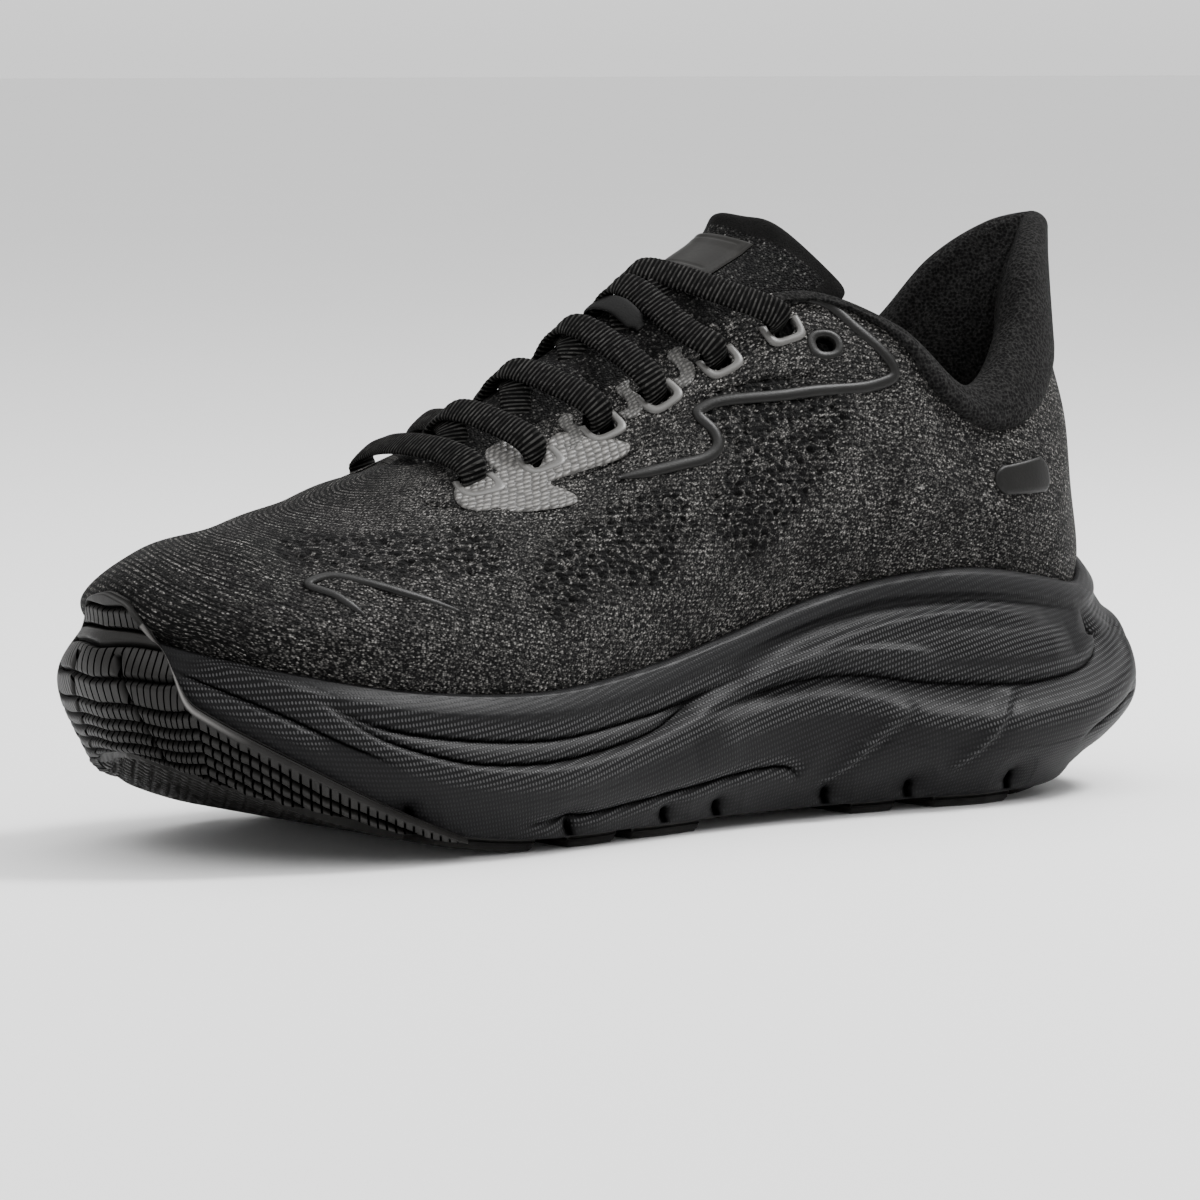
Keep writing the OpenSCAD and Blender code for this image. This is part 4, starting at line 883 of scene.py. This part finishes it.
# ---- Upper ----

EYELETS = [[9.65, 4.4], [8.95, 4.5], [8.25, 4.6], [7.6, 4.58], [6.9, 4.56], [6.25, 4.58]]
SPARE_EYELET = [5.86, 4.18]
ALL_EYELETS = EYELETS + [SPARE_EYELET]
EYELET_R = 4 * MM
BINDING_R = 2.1 * MM
# Lines along the vented areas, and their half widths in mm.
VENTS = [([[6.9, 3.75], [6.5, 3.5], [6.2, 3.1], [6.5, 2.75], [6.9, 2.45]], 9.0), ([[6.3, 3.5], [5.9, 3.3]], 5.0),
         ([[8.9, 2.45], [8.5, 2.75], [8.1, 2.85], [7.7, 2.85]], 6.0), ([[8.3, 2.6], [7.9, 2.45]], 6.0),
         ([[11.2, 3.4], [10.4, 3.3], [9.6, 3.2]], 7.0)]
VENT_PITCH, VENT_ROW, VENT_R = 3.0 * MM, 2.4 * MM, 0.85 * MM
QUARTER = [[6.15, 4.88], [5.95, 4.9], [5.7, 4.8], [5.5, 4.5], [5.25, 4.15], [5.12, 3.88], [5.2, 3.68], [5.6, 3.54],
    [6.3, 3.64], [6.95, 3.96], [7.2, 4.02], [7.26, 3.95], [7.14, 3.64], [7.14, 3.42], [7.3, 3.37], [7.6, 3.48],
    [8.2, 3.7]]
TOE_LINE = [[10.48, 2.28], [10.72, 2.56], [10.97, 2.72], [10.8, 2.87], [10.5, 2.78], [10.1, 2.57], [9.7, 2.32]]
SEAM = [[4.6, 2.5], [5.1, 2.1], [5.36, 1.87], [5.84, 1.54]]


def edge_v(u, d):
    """How much v a distance d down from the edge takes."""
    return 0.3 * d / np.linalg.norm(shoe.at(u, V_EDGE + 0 * u) - shoe.at(u, V_EDGE - 0.3 + 0 * u), axis=-1)


def in_eyelet(side, points, radius, depth):
    """True for the points within an eyelet's bore on one side."""
    hit = np.zeros(len(points), bool)
    for s, v in ALL_EYELETS:
        rel, n = points - shoe.at(around(s, side), v), shoe.normal(around(s, side), v)
        drop = rel @ n
        hit |= (np.linalg.norm(rel - drop[:, None] * n, axis=1) <= radius) & (np.abs(drop) <= depth)
    return hit


def shell_top(u):
    near = clip01((COLLAR + 0.9 - from_heel(u)) / 0.9)
    return V_EDGE - edge_v(u, 2 * BINDING_R + 0.3 * MM) * near


def knit_upper():
    cols, rows = STATIONS * 34, 120
    u = np.arange(cols) * STATIONS / cols
    top = shell_top(u)
    vv = (0.12 + 0.88 * np.linspace(0, 1, rows))[:, None] * top[None]
    uu = np.broadcast_to(u, vv.shape)
    base, normal = shoe.at(uu, vv), shoe.normal(uu, vv)
    flat = base.reshape(-1, 3)
    # Vent holes in slanted rows.
    vent = np.max([profile_along(flat, shoe, path, (half + 4) * MM, band(half * MM, 3 * MM), 0.0)
                   for path, half in VENTS], axis=0)
    row = np.round(flat[:, 2] / VENT_ROW)
    place_in_row = (flat[:, 0] + 0.35 * flat[:, 2]) / VENT_PITCH + 0.5 * (row % 2)
    dx = (place_in_row + 0.5) % 1 - 0.5
    dz = flat[:, 2] / VENT_ROW - row
    dot = bell(dx * VENT_PITCH, VENT_R) * bell(dz * VENT_ROW, VENT_R)
    jitter = 0.5 + 0.5 * np.sin(row * 12.9 + np.round(place_in_row) * 78.2)
    hole = clip01(dot * vent * (0.35 + 0.9 * jitter) * 1.3 - 0.15)
    relief = -0.9 * MM * hole
    relief += profile_along(flat, shoe, SEAM, 6 * MM, groove(0.8 * MM, 1.2 * MM, 1.6 * MM), 0.15)
    # Soft unevenness of stretched knit.
    for k in range(5):
        wave = rng.uniform(-1, 1, 3)
        relief += 0.16 * MM * np.sin(flat @ (wave * 2 * np.pi / (rng.uniform(14, 34) * MM)) + rng.uniform(0, 6))
    calm = clip01((vv - 1.0) / 0.3)
    outer = base + normal * (relief.reshape(vv.shape) * calm)[..., None]
    inner = base - normal * SHELL_T
    # Rounded top edge between the two faces.
    lip_out, lip_in = outer[-1], inner[-1]
    up_dir = shoe.dv(u, top)
    lips = [lip_out * (1 - k) + lip_in * k + up_dir * (SHELL_T * 0.5 * math.sin(math.pi * k))
            for k in (0.15, 0.35, 0.65, 0.85)]
    inner = inner[::-1][::3]
    grid = np.concatenate([outer, np.array(lips), inner])
    m = len(grid)
    faces = grid_faces(m, cols, around_v=True)
    centre = grid.reshape(-1, 3)[faces].mean(1)
    keep = ~(in_eyelet(MEDIAL, centre, EYELET_R + 0.1 * MM, 7 * MM)
             | in_eyelet(LATERAL, centre, EYELET_R + 0.1 * MM, 7 * MM))
    fill = lambda values: np.concatenate([values.reshape(vv.shape) * calm, np.zeros((m - rows, cols))])
    run, rise = lengths(base, 1), lengths(base, 0)
    uv = np.stack([np.broadcast_to(run[rows // 2], run.shape), rise], -1)
    uv = np.concatenate([uv, np.repeat(uv[-1:], len(lips), 0), uv[::-1][::3]])
    toe_rows = clip01((from_heel(uu) - 10.2) / 1.6)
    return new_piece("knit_upper", grid, faces[keep], knit_mat, uv=uv,
        attributes={"vent": fill(clip01(vent * 1.2)), "rows": fill(toe_rows)})


# Where the soft ankle fabric starts on the outside: stations from the heel and v.
SEAM_LINE = np.array([[0, 3.85], [1.2, 3.78], [2.2, 3.6], [2.8, 3.46], [3.2, 3.4], [3.55, 3.5], [3.8, 3.68],
    [4.1, 3.88], [4.35, 3.9], [4.57, 3.93], [4.77, 4.05], [4.94, 4.36], [5.2, 4.68], [5.5, 4.8], [6.3, 4.84]])
# Where the lining ends, just over the sockliner, as v.
LINING_END = 1.35


def collar():
    """Padding round the ankle: it starts outside at a seam, rolls over the top edge and lines the inside."""
    reach, cols = COLLAR + 0.95, 330
    u = np.linspace(-reach, reach, cols)
    s = np.abs(u)
    taper = clip01((reach - s) / 0.9) ** 0.5
    # Thick beside the ankle, slimmer at the heel tip and towards the lacing.
    r = np.interp(s, [0, 1, 2, 3, 4, 5, 5.8, 6.3], [3.4, 3.8, 4.6, 5.2, 4.8, 3.2, 2.6, 2.2]) * MM * (0.5 + 0.5 * taper)
    proud = 1.5 * MM
    edge, n, up = shoe.at(u, V_EDGE + 0 * u), shoe.normal(u, V_EDGE + 0 * u), shoe.dv(u, V_EDGE - 0.02 + 0 * u)
    centre = edge - up * r[:, None] - n * (r - proud)[:, None]
    rows = []
    # Outside, from the seam up to the roll, puffed in between.
    seam = np.interp(s, *SEAM_LINE.T)
    v_roll = V_EDGE - edge_v(u, r)
    seam = np.minimum(seam, v_roll - 0.02)
    length = clip01((v_roll - seam) / 0.6)
    for k in np.linspace(0, 1, 22)[:-1]:
        v = seam + (v_roll - seam) * k
        puff = (1 - (1 - min(k / 0.16, 1)) ** 2) ** 0.5
        rise = -0.5 * MM + (proud + 0.5 * MM) * puff + 1.3 * MM * length * np.sin(np.pi * k) ** 0.8
        rows.append(shoe.off(u, v, rise))
    for angle in np.radians(np.arange(0, 171, 12)):
        rows.append(centre + n * (r * math.cos(angle))[:, None] + up * (r * math.sin(angle))[:, None])
    # The lining: pods beside the ankle, then flat down to the sockliner.
    side_pad = np.interp(s, [0, 0.8, 2, 3.5, 4.8, reach], [4.5, 6.0, 8.5, 8.0, 4.5, 1.0]) * MM
    v_start = V_EDGE - edge_v(u, r * 1.6)
    for k in np.linspace(0.04, 1, 50):
        v = v_start + (LINING_END - v_start) * k
        plump = clip01((v - 2.6) / (v_start - 2.6))
        settle = plump**2 * (3 - 2 * plump)
        wave = 0.25 * MM * np.sin(u * 11 + 3 * v) * np.sin(v * 9)
        depth = (SHELL_T + 3.4 * MM) * (1 - settle) + (2 * r - proud) * settle
        depth = depth + side_pad * np.sin(np.pi * plump**0.8) ** 1.2 + wave
        rows.append(shoe.off(u, v, -depth))
    for k in np.linspace(1, 0, 14):
        rows.append(shoe.off(u, v_start + (LINING_END - v_start) * k, np.full(cols, -SHELL_T - 0.25 * MM)))
    grid = np.array(rows)
    m = len(grid)
    faces = [f[::-1] for f in grid_faces(m, cols, around_u=False, around_v=True).tolist()]
    faces += [[i * cols for i in range(m)], [i * cols + cols - 1 for i in range(m)][::-1]]
    uv = np.stack([lengths(grid, 1), lengths(grid, 0)], -1)
    return new_piece("padded_collar", grid, faces, lining_mat, uv=uv)


def eyelet_shape(open_top):
    """Outline of an eyelet's rim, 1 in radius: a square U, or a closed round shape."""
    if open_top:
        span, power = np.radians(np.linspace(-192, 12, 30)), 4.0
    else:
        span, power = np.linspace(0, 2 * np.pi, 40, endpoint=False), 2.4
    c, s = np.cos(span), np.sin(span)
    k = (np.abs(c) ** power + np.abs(s) ** power) ** (-1 / power)
    return np.stack([c * k, s * k], 1)


# Steps across a rim: radius and height over the knit, in mm.
RIM_STEPS = ((3.7, -2.6), (3.7, 0.5), (3.85, 0.8), (5.35, 0.8), (5.65, 0.5), (5.6, -0.5))
SPARE_STEPS = ((2.3, -3.0), (2.3, 0.3), (2.5, 0.6), (3.9, 0.6), (4.3, 0.4), (4.4, -0.6))


def eyelet_rims(name, side):
    """Printed rims: a U below each laced eyelet and a closed oval round the spare one."""
    verts, faces, dark = [], [], []
    for eyelet in ALL_EYELETS:
        spare = eyelet is SPARE_EYELET
        shape = eyelet_shape(not spare) * ([1.12, 0.92] if spare else [1, 1])
        rings = []
        for radius, rise in SPARE_STEPS if spare else RIM_STEPS:
            s, v = shoe.places(*eyelet, side, shape * radius * MM).T
            rings.append(shoe.off(around(s, side), v, np.full(len(s), rise * MM)))
        grid = np.array(rings)
        m, n = grid.shape[:2]
        base = sum(len(v) for v in verts)
        quads = (grid_faces(m, n, around_u=spare, around_v=True) + base).tolist()
        if not spare:
            quads += [[base + i * n for i in range(m)][::-1], [base + i * n + n - 1 for i in range(m)]]
        if side < 0:
            quads = [q[::-1] for q in quads]
        verts.append(grid.reshape(-1, 3))
        faces += quads
        dark += [spare] * len(quads)
    obj = new_piece(name, np.vstack(verts), faces, rim_mat)
    obj.data.materials.append(weld_mat)
    obj.data.polygons.foreach_set("material_index", np.array(dark, np.int32))
    return obj


OVERLAY = [[9.85, 4.4], [9.72, 3.95], [9.2, 3.68], [8.67, 3.54], [8.62, 3.66], [8.72, 3.82], [8.84, 4.02],
    [8.45, 4.0], [8.13, 3.96], [8.03, 4.06], [8.1, 4.2], [8.42, 4.5], [8.62, 4.7], [8.78, 4.66], [8.95, 4.3],
    [9.08, 4.6], [9.12, 4.92], [9.55, 4.94], [9.5, 4.62], [9.4, 4.44]]
TAB = np.array([[-2.2, 5.6], [-4, 4.2], [-2.4, 1.8], [-2.8, -1.4], [-0.9, -4.2], [1.9, -5.6], [4.4, -4.9],
    [5.2, -2.5], [2.2, -2.2], [0.9, 0], [0.8, 3.8]]) * MM
TAB_PLACES = [[8.55, 4.66], [7.88, 4.72], [7.25, 4.7]]
TAB_TOP = 4.97
STAY = [[5.55, 4.0], [5.5, 4.25], [5.62, 4.5], [5.85, 4.7], [6.1, 4.72], [6.5, 4.9], [7.5, 4.93], [8.5, 4.93],
    [9.5, 4.93], [10.4, 4.93], [10.75, 4.6], [10.4, 4.25], [9.6, 3.95], [8.8, 3.95], [8, 3.98], [7.45, 4.1],
    [7.1, 4.15], [6.6, 4.0], [6.1, 3.8], [5.7, 3.75]]
BADGE_PLACE = [3.3, 2.6]


def bead(name, path, side, half, high):
    """A raised welded line."""
    n = 15 * len(path)
    s, v = curve_at(path, np.linspace(0, len(path) - 1, n)).T
    u = around(s, side)
    centre = shoe.off(u, v, np.full(n, 0.15 * MM))
    across = np.cross(shoe.normal(u, v), unit(np.gradient(centre, axis=0)))
    ends = np.clip(np.minimum(np.arange(n), np.arange(n)[::-1]) / 8, 0.12, 1) ** 0.5
    return tube(name, centre, across, half * ends, high * ends, 12, weld_mat)


def trims(side_name, side):
    """The films and beads on one side of the upper."""
    tabs = [np.minimum(shoe.places(s, v, side, TAB), [np.inf, TAB_TOP]) for s, v in TAB_PLACES]
    # A plain patch stands in for the mark on the heel.
    angle = np.linspace(0, 2 * np.pi, 28, endpoint=False)
    patch = np.stack([np.cos(angle) * 4 + np.sign(np.cos(angle)) * 6, np.sin(angle) * 4], 1) * MM
    patch = shoe.places(*BADGE_PLACE, side, patch)
    on_side = lambda name, end: f"{name}_{side_name}_{end}"
    for node, obj, slot in (
            ("edge_tabs", film(on_side("edge_tabs", "film"), tabs, side, 0.3 * MM, 0.45 * MM, rim_mat), "grey_film"),
            ("vamp_overlay", film(on_side("vamp_overlay", "film"), [OVERLAY], side, 0.25 * MM, 0.4 * MM, grey_mat),
             "grey_film"),
            ("eyelet_rims", eyelet_rims(on_side("eyelet_rims", "print"), side), "grey_film"),
            ("quarter_bead", bead(on_side("quarter_bead", "weld"), QUARTER, side, 1.5 * MM, 0.75 * MM), "film"),
            ("toe_bead", bead(on_side("toe_bead", "weld"), TOE_LINE, side, 1.1 * MM, 0.6 * MM), "film"),
            ("heel_badge", film(on_side("heel_badge", "patch"), [patch], side, 0.2 * MM, 0.7 * MM, weld_mat), "film"),
            ("eyestay", eyestay(on_side("eyestay", "band"), side), "film")):
        place(obj, f"{node}_{side_name}", slot=slot)


def eyestay(name, side):
    """The band that carries the eyelets, open inside each of them."""
    obj = film(name, [STAY], side, -0.1 * MM, 0.35 * MM, knit_mat, edge=1.2 * MM, step=1.5 * MM)
    bm = bmesh.new()
    bm.from_mesh(obj.data)
    middles = np.array([face.calc_center_median() for face in bm.faces])
    gone = in_eyelet(side, middles, EYELET_R, 4 * MM)
    bmesh.ops.delete(bm, geom=[face for face, g in zip(bm.faces, gone) if g], context="FACES")
    bm.to_mesh(obj.data)
    bm.free()
    return obj


# ---- Tongue ----

TONGUE = np.array([[-80, 0, 75], [-68, 0, 84.5], [-56, 0, 91], [-36, 0, 101.5], [-19, 0, 111.3], [-4, 0, 119.5],
    [5, 0, 125], [14, 0, 131], [23, 0, 137], [31, 0, 142.5], [38, 0, 145]]) * MM
TONGUE_HALF = np.array([14, 16, 19, 21, 21, 21, 20.5, 20.5, 21, 22, 22]) * MM
TONGUE_FALL = np.array([10, 14, 20, 27, 28, 28, 22, 14, 8, 5, 4]) * MM
TONGUE_T = np.array([4.5, 4.5, 4.5, 4.5, 4.5, 4.5, 4.8, 5.5, 6.8, 7.5, 7]) * MM
# How far the sides turn back round the ankle, and drop.
TONGUE_WRAP = np.array([0, 0, 0, 0, 0, 1, 4, 10, 17, 21, 22]) * MM
TONGUE_DROP = np.array([0, 0, 0, 0, 0, 0, 0, 1, 4, 6.5, 8]) * MM


def pad_at(t):
    """From 0 in the thin part of the tongue to 1 in its padded top."""
    return clip01((t - 6.6) / 1.6)


def tongue_at(t, a, d):
    """A point of the tongue: t along it, a from -1 to 1 across it, d outside its outer face."""
    t, a, d = np.broadcast_arrays(t, a, d)
    pick = lambda table: curve_at(table[:, None], t)[..., 0]
    along = unit(curve_at(TONGUE, t + 0.05) - curve_at(TONGUE, t - 0.05))
    out = np.cross(np.broadcast_to([0.0, -1.0, 0.0], along.shape), along)
    spread = np.stack([pick(TONGUE_WRAP) * a**2, a * pick(TONGUE_HALF), -pick(TONGUE_DROP) * a**2], -1)
    return curve_at(TONGUE, t) + spread + out * (d - pick(TONGUE_FALL) * np.abs(a) ** 2.3)[..., None]


def tongue():
    """One soft piece: thin under the lacing, padded at the top with a rolled rim and rounded corners."""
    rows, half_cols = 130, 44
    t = np.concatenate([np.linspace(0.3, 8.4, rows - 44), np.linspace(8.4, 10.05, 45)[1:]])
    grid = []
    for tt in t:
        pad = pad_at(tt)
        thick = np.interp(tt, np.arange(11), TONGUE_T) + 3.5 * MM * pad
        end = clip01((tt - 8.1) / 1.95)
        width = max(1 - end**2.3, 0.0) ** (1 / 2.1)
        close = math.sqrt(max(1 - max((tt - 9.3) / 0.75, 0) ** 2, 0.0004))
        a = np.cos(np.linspace(0, np.pi, half_cols))
        rim = 2.2 * MM * pad * (bell((1 - np.abs(a)) * width * 20 * MM - 4.5 * MM, 4 * MM) - 0.15)
        rim = rim + 2.8 * MM * bell(tt - 9.35, 0.4) * (1 - 0.3 * np.abs(a))
        lens = np.sqrt(clip01(1 - np.abs(a) ** 4))
        mid = -thick / 2 - 1.5 * MM * pad
        top = tongue_at(tt, a * max(width, 0.02), mid + (thick / 2 + rim) * lens * close)
        low = tongue_at(tt, a[::-1] * max(width, 0.02), mid - thick / 2 * lens * close)
        grid.append(np.concatenate([top, low[1:-1]]))
    grid = np.array(grid)
    m, n = grid.shape[:2]
    faces = grid_faces(m, n).tolist() + [list(range(n))[::-1], list(range((m - 1) * n, m * n))]
    uv = np.stack([lengths(grid, 1), np.repeat(lengths(grid, 0)[:, n // 4: n // 4 + 1], n, 1)], -1)
    obj = new_piece("padded_tongue", grid, [f[::-1] for f in faces], tongue_mat_shaded, uv=uv)
    # The rim and the back of the top are the soft fabric.
    obj.data.materials.append(soft_mat)
    j, tt = np.tile(np.arange(n), m - 1), np.repeat(t[:-1], n)
    a = np.cos(np.pi * np.minimum(j, half_cols) / (half_cols - 1))
    soft = (j >= half_cols) | (np.abs(a) > 0.93) | (tt > 8.95 - 0.5 * a**2)
    obj.data.polygons.foreach_set("material_index", np.concatenate([soft, [1, 1]]).astype(np.int32))
    return obj


def tongue_label():
    """A blank glossy patch at the top of the tongue, with a pressed-in frame line."""
    low, high, half = 7.2, 8.62, 0.5
    t, a = np.meshgrid(np.linspace(low, high, 40), np.linspace(half, -half, 50), indexing="ij")
    inward = np.minimum(np.minimum(t - low, high - t) * 9 * MM, (half - np.abs(a)) * 19 * MM)
    rise = 0.45 * MM * clip01(inward / (0.5 * MM)) ** 0.5 + 0.35 * MM
    rise = rise - 0.2 * MM * bell(inward - 1.6 * MM, 0.25 * MM)
    # The pad's face lies lower than the outer face of the thin part.
    sink = 1.7 * MM * pad_at(t)
    return slab("tongue_label_patch", tongue_at(t, a, rise - sink), tongue_at(t, a, -0.9 * MM - sink), label_mat)


def keeper():
    """Strap sewn across the tongue; the lace passes under it."""
    n, half = 60, 0.46
    a = np.linspace(half, -half, n)
    lift = 2.4 * MM * clip01((half - np.abs(a)) / 0.2) ** 0.7 + 0.6 * MM
    centre = tongue_at(np.full(n, 5.25), a, lift)
    along = tongue_at(np.full(n, 5.35), a, lift) - tongue_at(np.full(n, 5.15), a, lift)
    ends = np.clip(np.minimum(np.arange(n), np.arange(n)[::-1]) / 3, 0.5, 1)
    return tube("lace_keeper_strap", centre, along, 3.0 * MM * ends, 0.5 * MM, 16, keeper_mat, power=3)


# ---- Lace ----

TAIL_MEDIAL = [[-50, -15, 35.5], [-30, -15, 35.5], [-10, -14, 37.5], [10, -15, 39.5],
    [26, -19, 43], [36, -25, 51], [42, -30, 63], [46, -33, 77], [46, -32, 91], [42, -27, 103], [38, -22.5, 110]]
LACED = [
    [34, -19, 114.5], [30.5, -25.5, 120.3], [22, -19.5, 125], [9, 0, 131.5], [8.5, 7, 126],
    [14.5, 15, 112], [15.5, 21.5, 105.5], [12, 26.5, 112.8], [8, 18.5, 117], [2.5, 0, 124.8],
    [-1.5, -7, 117], [-2, -12.5, 103.5], [-1.5, -18, 98.5], [-5.5, -23, 105], [-8.5, -16.5, 111.5],
    [-13, 0, 118.6], [-17, 7, 110], [-19, 14.5, 94.5], [-18, 20.5, 91], [-21, 25, 98.5],
    [-24.5, 17, 103.5], [-30.5, 0, 106], [-34, -7, 99.5], [-36, -12, 88.5], [-37.5, -18, 84.5],
    [-40.5, -22.5, 91.5], [-43.5, -15.5, 96], [-47.5, 0, 99.3], [-50.5, 7, 92], [-51, 13.5, 83],
    [-55, 20.5, 79], [-57.5, 23.5, 87], [-58.5, 15, 90.3], [-60, 5, 91.6], [-60, -5, 91.6],
    [-58.5, -13.5, 90.3], [-57.5, -21.5, 87], [-55, -18.5, 79], [-51, -12, 83], [-51.5, -7, 89.5],
    [-49, 0, 96], [-44.5, 16.5, 96], [-40.5, 25, 91.5], [-37.5, 21.5, 84], [-36.5, 14.5, 88],
    [-34.5, 7, 99.5], [-31, 0, 108.5], [-25, -16.3, 104], [-21, -22.5, 99], [-18.5, -17.5, 92],
    [-19, -12, 95.5], [-17, -7, 107], [-13.5, 0, 115.8], [-8.5, 17.5, 111], [-5.5, 25.5, 105],
    [-1.5, 21.5, 98], [-1.5, 15, 101.5], [-1, 7, 117.5], [2.5, 0, 127.8], [8, -17.5, 117.5],
    [12, -24, 113], [15.5, -18.5, 107], [15, -13, 112], [9.5, -7, 124.5], [10, 0, 129.2],
    [22, 20.5, 124], [30.5, 28, 119.3], [34, 22, 113]]
TAIL_LATERAL = [[37.5, 24.5, 109.5], [42, 29, 102], [46, 34, 90], [46, 35, 76], [42, 32, 62], [36, 27, 50],
    [26, 21, 43], [10, 18, 39.5], [-10, 16, 37.5], [-30, 17, 35.5], [-50, 18, 35.5]]
LACE_W, LACE_T = 7.4 * MM, 1.7 * MM
RIB = 1.1 * MM


def tail_sides(y):
    """The way the lace's flat side faces along a tail: y across the shoe under the foot, turning as it rises."""
    return [[0, y, 0]] * 4 + [[0.5, 0.8 * y, 0]] * 2 + [[1, 0, 0]] * 3 + [[0.8, 0, 0.6]] * 2


def lace():
    route = np.array(TAIL_MEDIAL + LACED + TAIL_LATERAL) * MM
    sides = np.array(tail_sides(1) + [[0.8, 0, 0.6]] * len(LACED) + tail_sides(-1)[::-1], float)
    fine = np.linspace(0, len(route) - 1, 40 * len(route))
    line, side = curve_at(route, fine), curve_at(sides, fine)
    run = lengths(line[:, None], 0)[:, 0]
    n = int(run[-1] / (RIB / 4))
    at = np.linspace(0, run[-1], n)
    line, side = (np.column_stack([np.interp(at, run, part[:, k]) for k in range(3)]) for part in (line, side))
    rib = 0.5 + 0.5 * np.cos(2 * np.pi * at / RIB)
    sides_n = 18
    obj = tube("lace_braid", line, side, LACE_W / 2 * (0.985 + 0.03 * rib), LACE_T / 2 * (0.92 + 0.2 * rib), sides_n,
        lace_mat, power=2.6, attributes={"rib": np.repeat(rib, sides_n)})
    return obj, line[::16]


def aglets(line):
    """Plastic tips crimped on both ends."""
    verts, faces = [], []
    n = 16
    for end in (line[0], line[-1]):
        centre = np.linspace(0, 1, 14)[:, None] * [[-22 * MM, 0, 1 * MM]] + end + [[0.4 * MM, 0, 0]]
        radius = 1.7 * MM * np.array([0.6, 1, 1, 0.93, 1, 1, 1, 1, 1, 0.97, 0.95, 0.9, 0.7, 0.3])
        angle = 2 * np.pi * np.arange(n) / n
        rings = centre[:, None] + radius[:, None, None] * np.stack([0 * angle, np.cos(angle), np.sin(angle)], -1)
        base = sum(len(v) for v in verts)
        verts.append(rings.reshape(-1, 3))
        quads = grid_faces(14, n).tolist() + [list(range(n))[::-1], list(range(13 * n, 14 * n))]
        faces += [[q + base for q in f] for f in quads]
    return new_piece("lace_tips", np.vstack(verts), faces, tip_mat)


# Heights over the bed of the board's top and of the insole's, and the insole's gap to the rim.
BOARD_TOP, INSOLE_TOP = 2.7 * MM, 7.4 * MM
INSOLE_INSET = (5.4 + 3 + 1.9) * MM


def sockliner():
    """Removable insole: a soft sheet with a turned-up edge, cupped at the heel."""
    cols = STATIONS * 10
    rim = ring(wall, 2.0, cols)
    edge = inset(rim, INSOLE_INSET)
    base = bed(edge[:, 0]) + BOARD_TOP
    rows = []
    for f in np.linspace(0.97, 0, 22):
        row = shrink(edge, f)
        side = clip01(1 - f / 0.35)
        row[:, 2] = bed(row[:, 0]) + INSOLE_TOP + 1.4 * MM * side**2 - 0.6 * MM * (1 - side)
        rows.append(row)
    low = at_height(edge, base)
    rows += [np.column_stack([edge[:, :2], base + 1 * MM]), low, shrink(low, 0.5)]
    grid = np.array(rows)
    grid[-1][:, 2] = bed(grid[-1][:, 0]) + BOARD_TOP
    m = len(grid)
    faces = grid_faces(m, cols).tolist() + cap_faces(cols, 0) + cap_faces(cols, (m - 1) * cols, flip=True)
    return new_piece("sockliner_pad", grid, faces, sock_mat)


# ---- Assembly ----

place(midsole(), "midsole", slot="foam")
place(toe_cap(), "outsole_toe_cap", slot="rubber")
for pad_name, spec in PADS.items():
    pad(pad_name, *spec)

place(knit_upper(), "upper_shell", slot="knit")
collar_obj = place(collar(), "collar_foam", "collar_lining", "topline_binding", slot="soft_knit")
sock_obj = place(sockliner(), "sockliner", slot="lining")
for side_name, side in SIDES.items():
    trims(side_name, side)

place(keeper(), "lace_keeper", slot="film")
lace_obj, lace_line = lace()
tips = place(aglets(lace_line), "aglets", slot="tip")
place(lace_obj, "lace", slot="lace")

tongue_obj, label_obj = tongue(), tongue_label()
for obj, slot, *nodes in ((tongue_obj, "soft_knit", "tongue_body", "tongue_pad"), (label_obj, "film", "tongue_label")):
    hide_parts(*nodes)
    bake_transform(obj)

for node, mat in (("strobel_board", board_mat), ("toe_puff", stiff_mat), ("heel_counter", stiff_mat),
                  ("tongue_gusset_medial", lining_mat), ("tongue_gusset_lateral", lining_mat)):
    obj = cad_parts[node]
    for material_slot in obj.material_slots:
        material_slot.material = mat

# ---- Floor and light ----

FLOOR_HALF = 40.0
LIT = Vector((0, 0, 0.06))


def add_floor():
    m = Mat("floor", grey(0.86), 0.6, 0.5)
    m.put(m.bsdf, {"Base Color": m.mix(m.noise(0.4, 3), grey(0.85), grey(0.87))})
    corners = [[x * FLOOR_HALF, y * FLOOR_HALF, 0] for x, y in ((-1, -1), (1, -1), (1, 1), (-1, 1))]
    new_piece("floor", corners, [[0, 1, 2, 3]], m.mat)


def add_light(name, place_at, energy, size):
    data = bpy.data.lights.new(name, "AREA")
    data.energy, data.size = energy, size
    obj = bpy.data.objects.new(name, data)
    obj.location = place_at
    obj.rotation_euler = (Vector(place_at) - LIT).to_track_quat("Z", "Y").to_euler()
    bpy.context.scene.collection.objects.link(obj)


def add_world():
    """A bright band round the horizon under a dimmer sky."""
    world = bpy.data.worlds.new("world")
    world.use_nodes = True
    nodes, links = world.node_tree.nodes, world.node_tree.links
    coord, split, ramp = (nodes.new("ShaderNode" + kind) for kind in ("TexCoord", "SeparateXYZ", "ValToRGB"))
    points = ramp.color_ramp.elements
    stops = (0.0, 0.6), (1.0, 0.12), (0.35, 0.12)
    for point, (position, level) in zip([points[0], points[1], points.new(0.3)], stops):
        point.position, point.color = position, (*grey(level), 1)
    ramp.color_ramp.elements.new(0.12).color = (1, 1, 1, 1)
    links.new(coord.outputs["Generated"], split.inputs[0])
    links.new(split.outputs["Z"], ramp.inputs[0])
    links.new(ramp.outputs[0], nodes["Background"].inputs["Color"])
    nodes["Background"].inputs["Strength"].default_value = 1.9
    bpy.context.scene.world = world


add_floor()
add_world()
add_light("overhead", (0, 0, 2.6), 60, 4.0)
add_light("key", (0.8, -0.25, 1.2), 30, 0.35)
add_light("front", (-0.9, -1.3, 1.0), 7, 0.7)
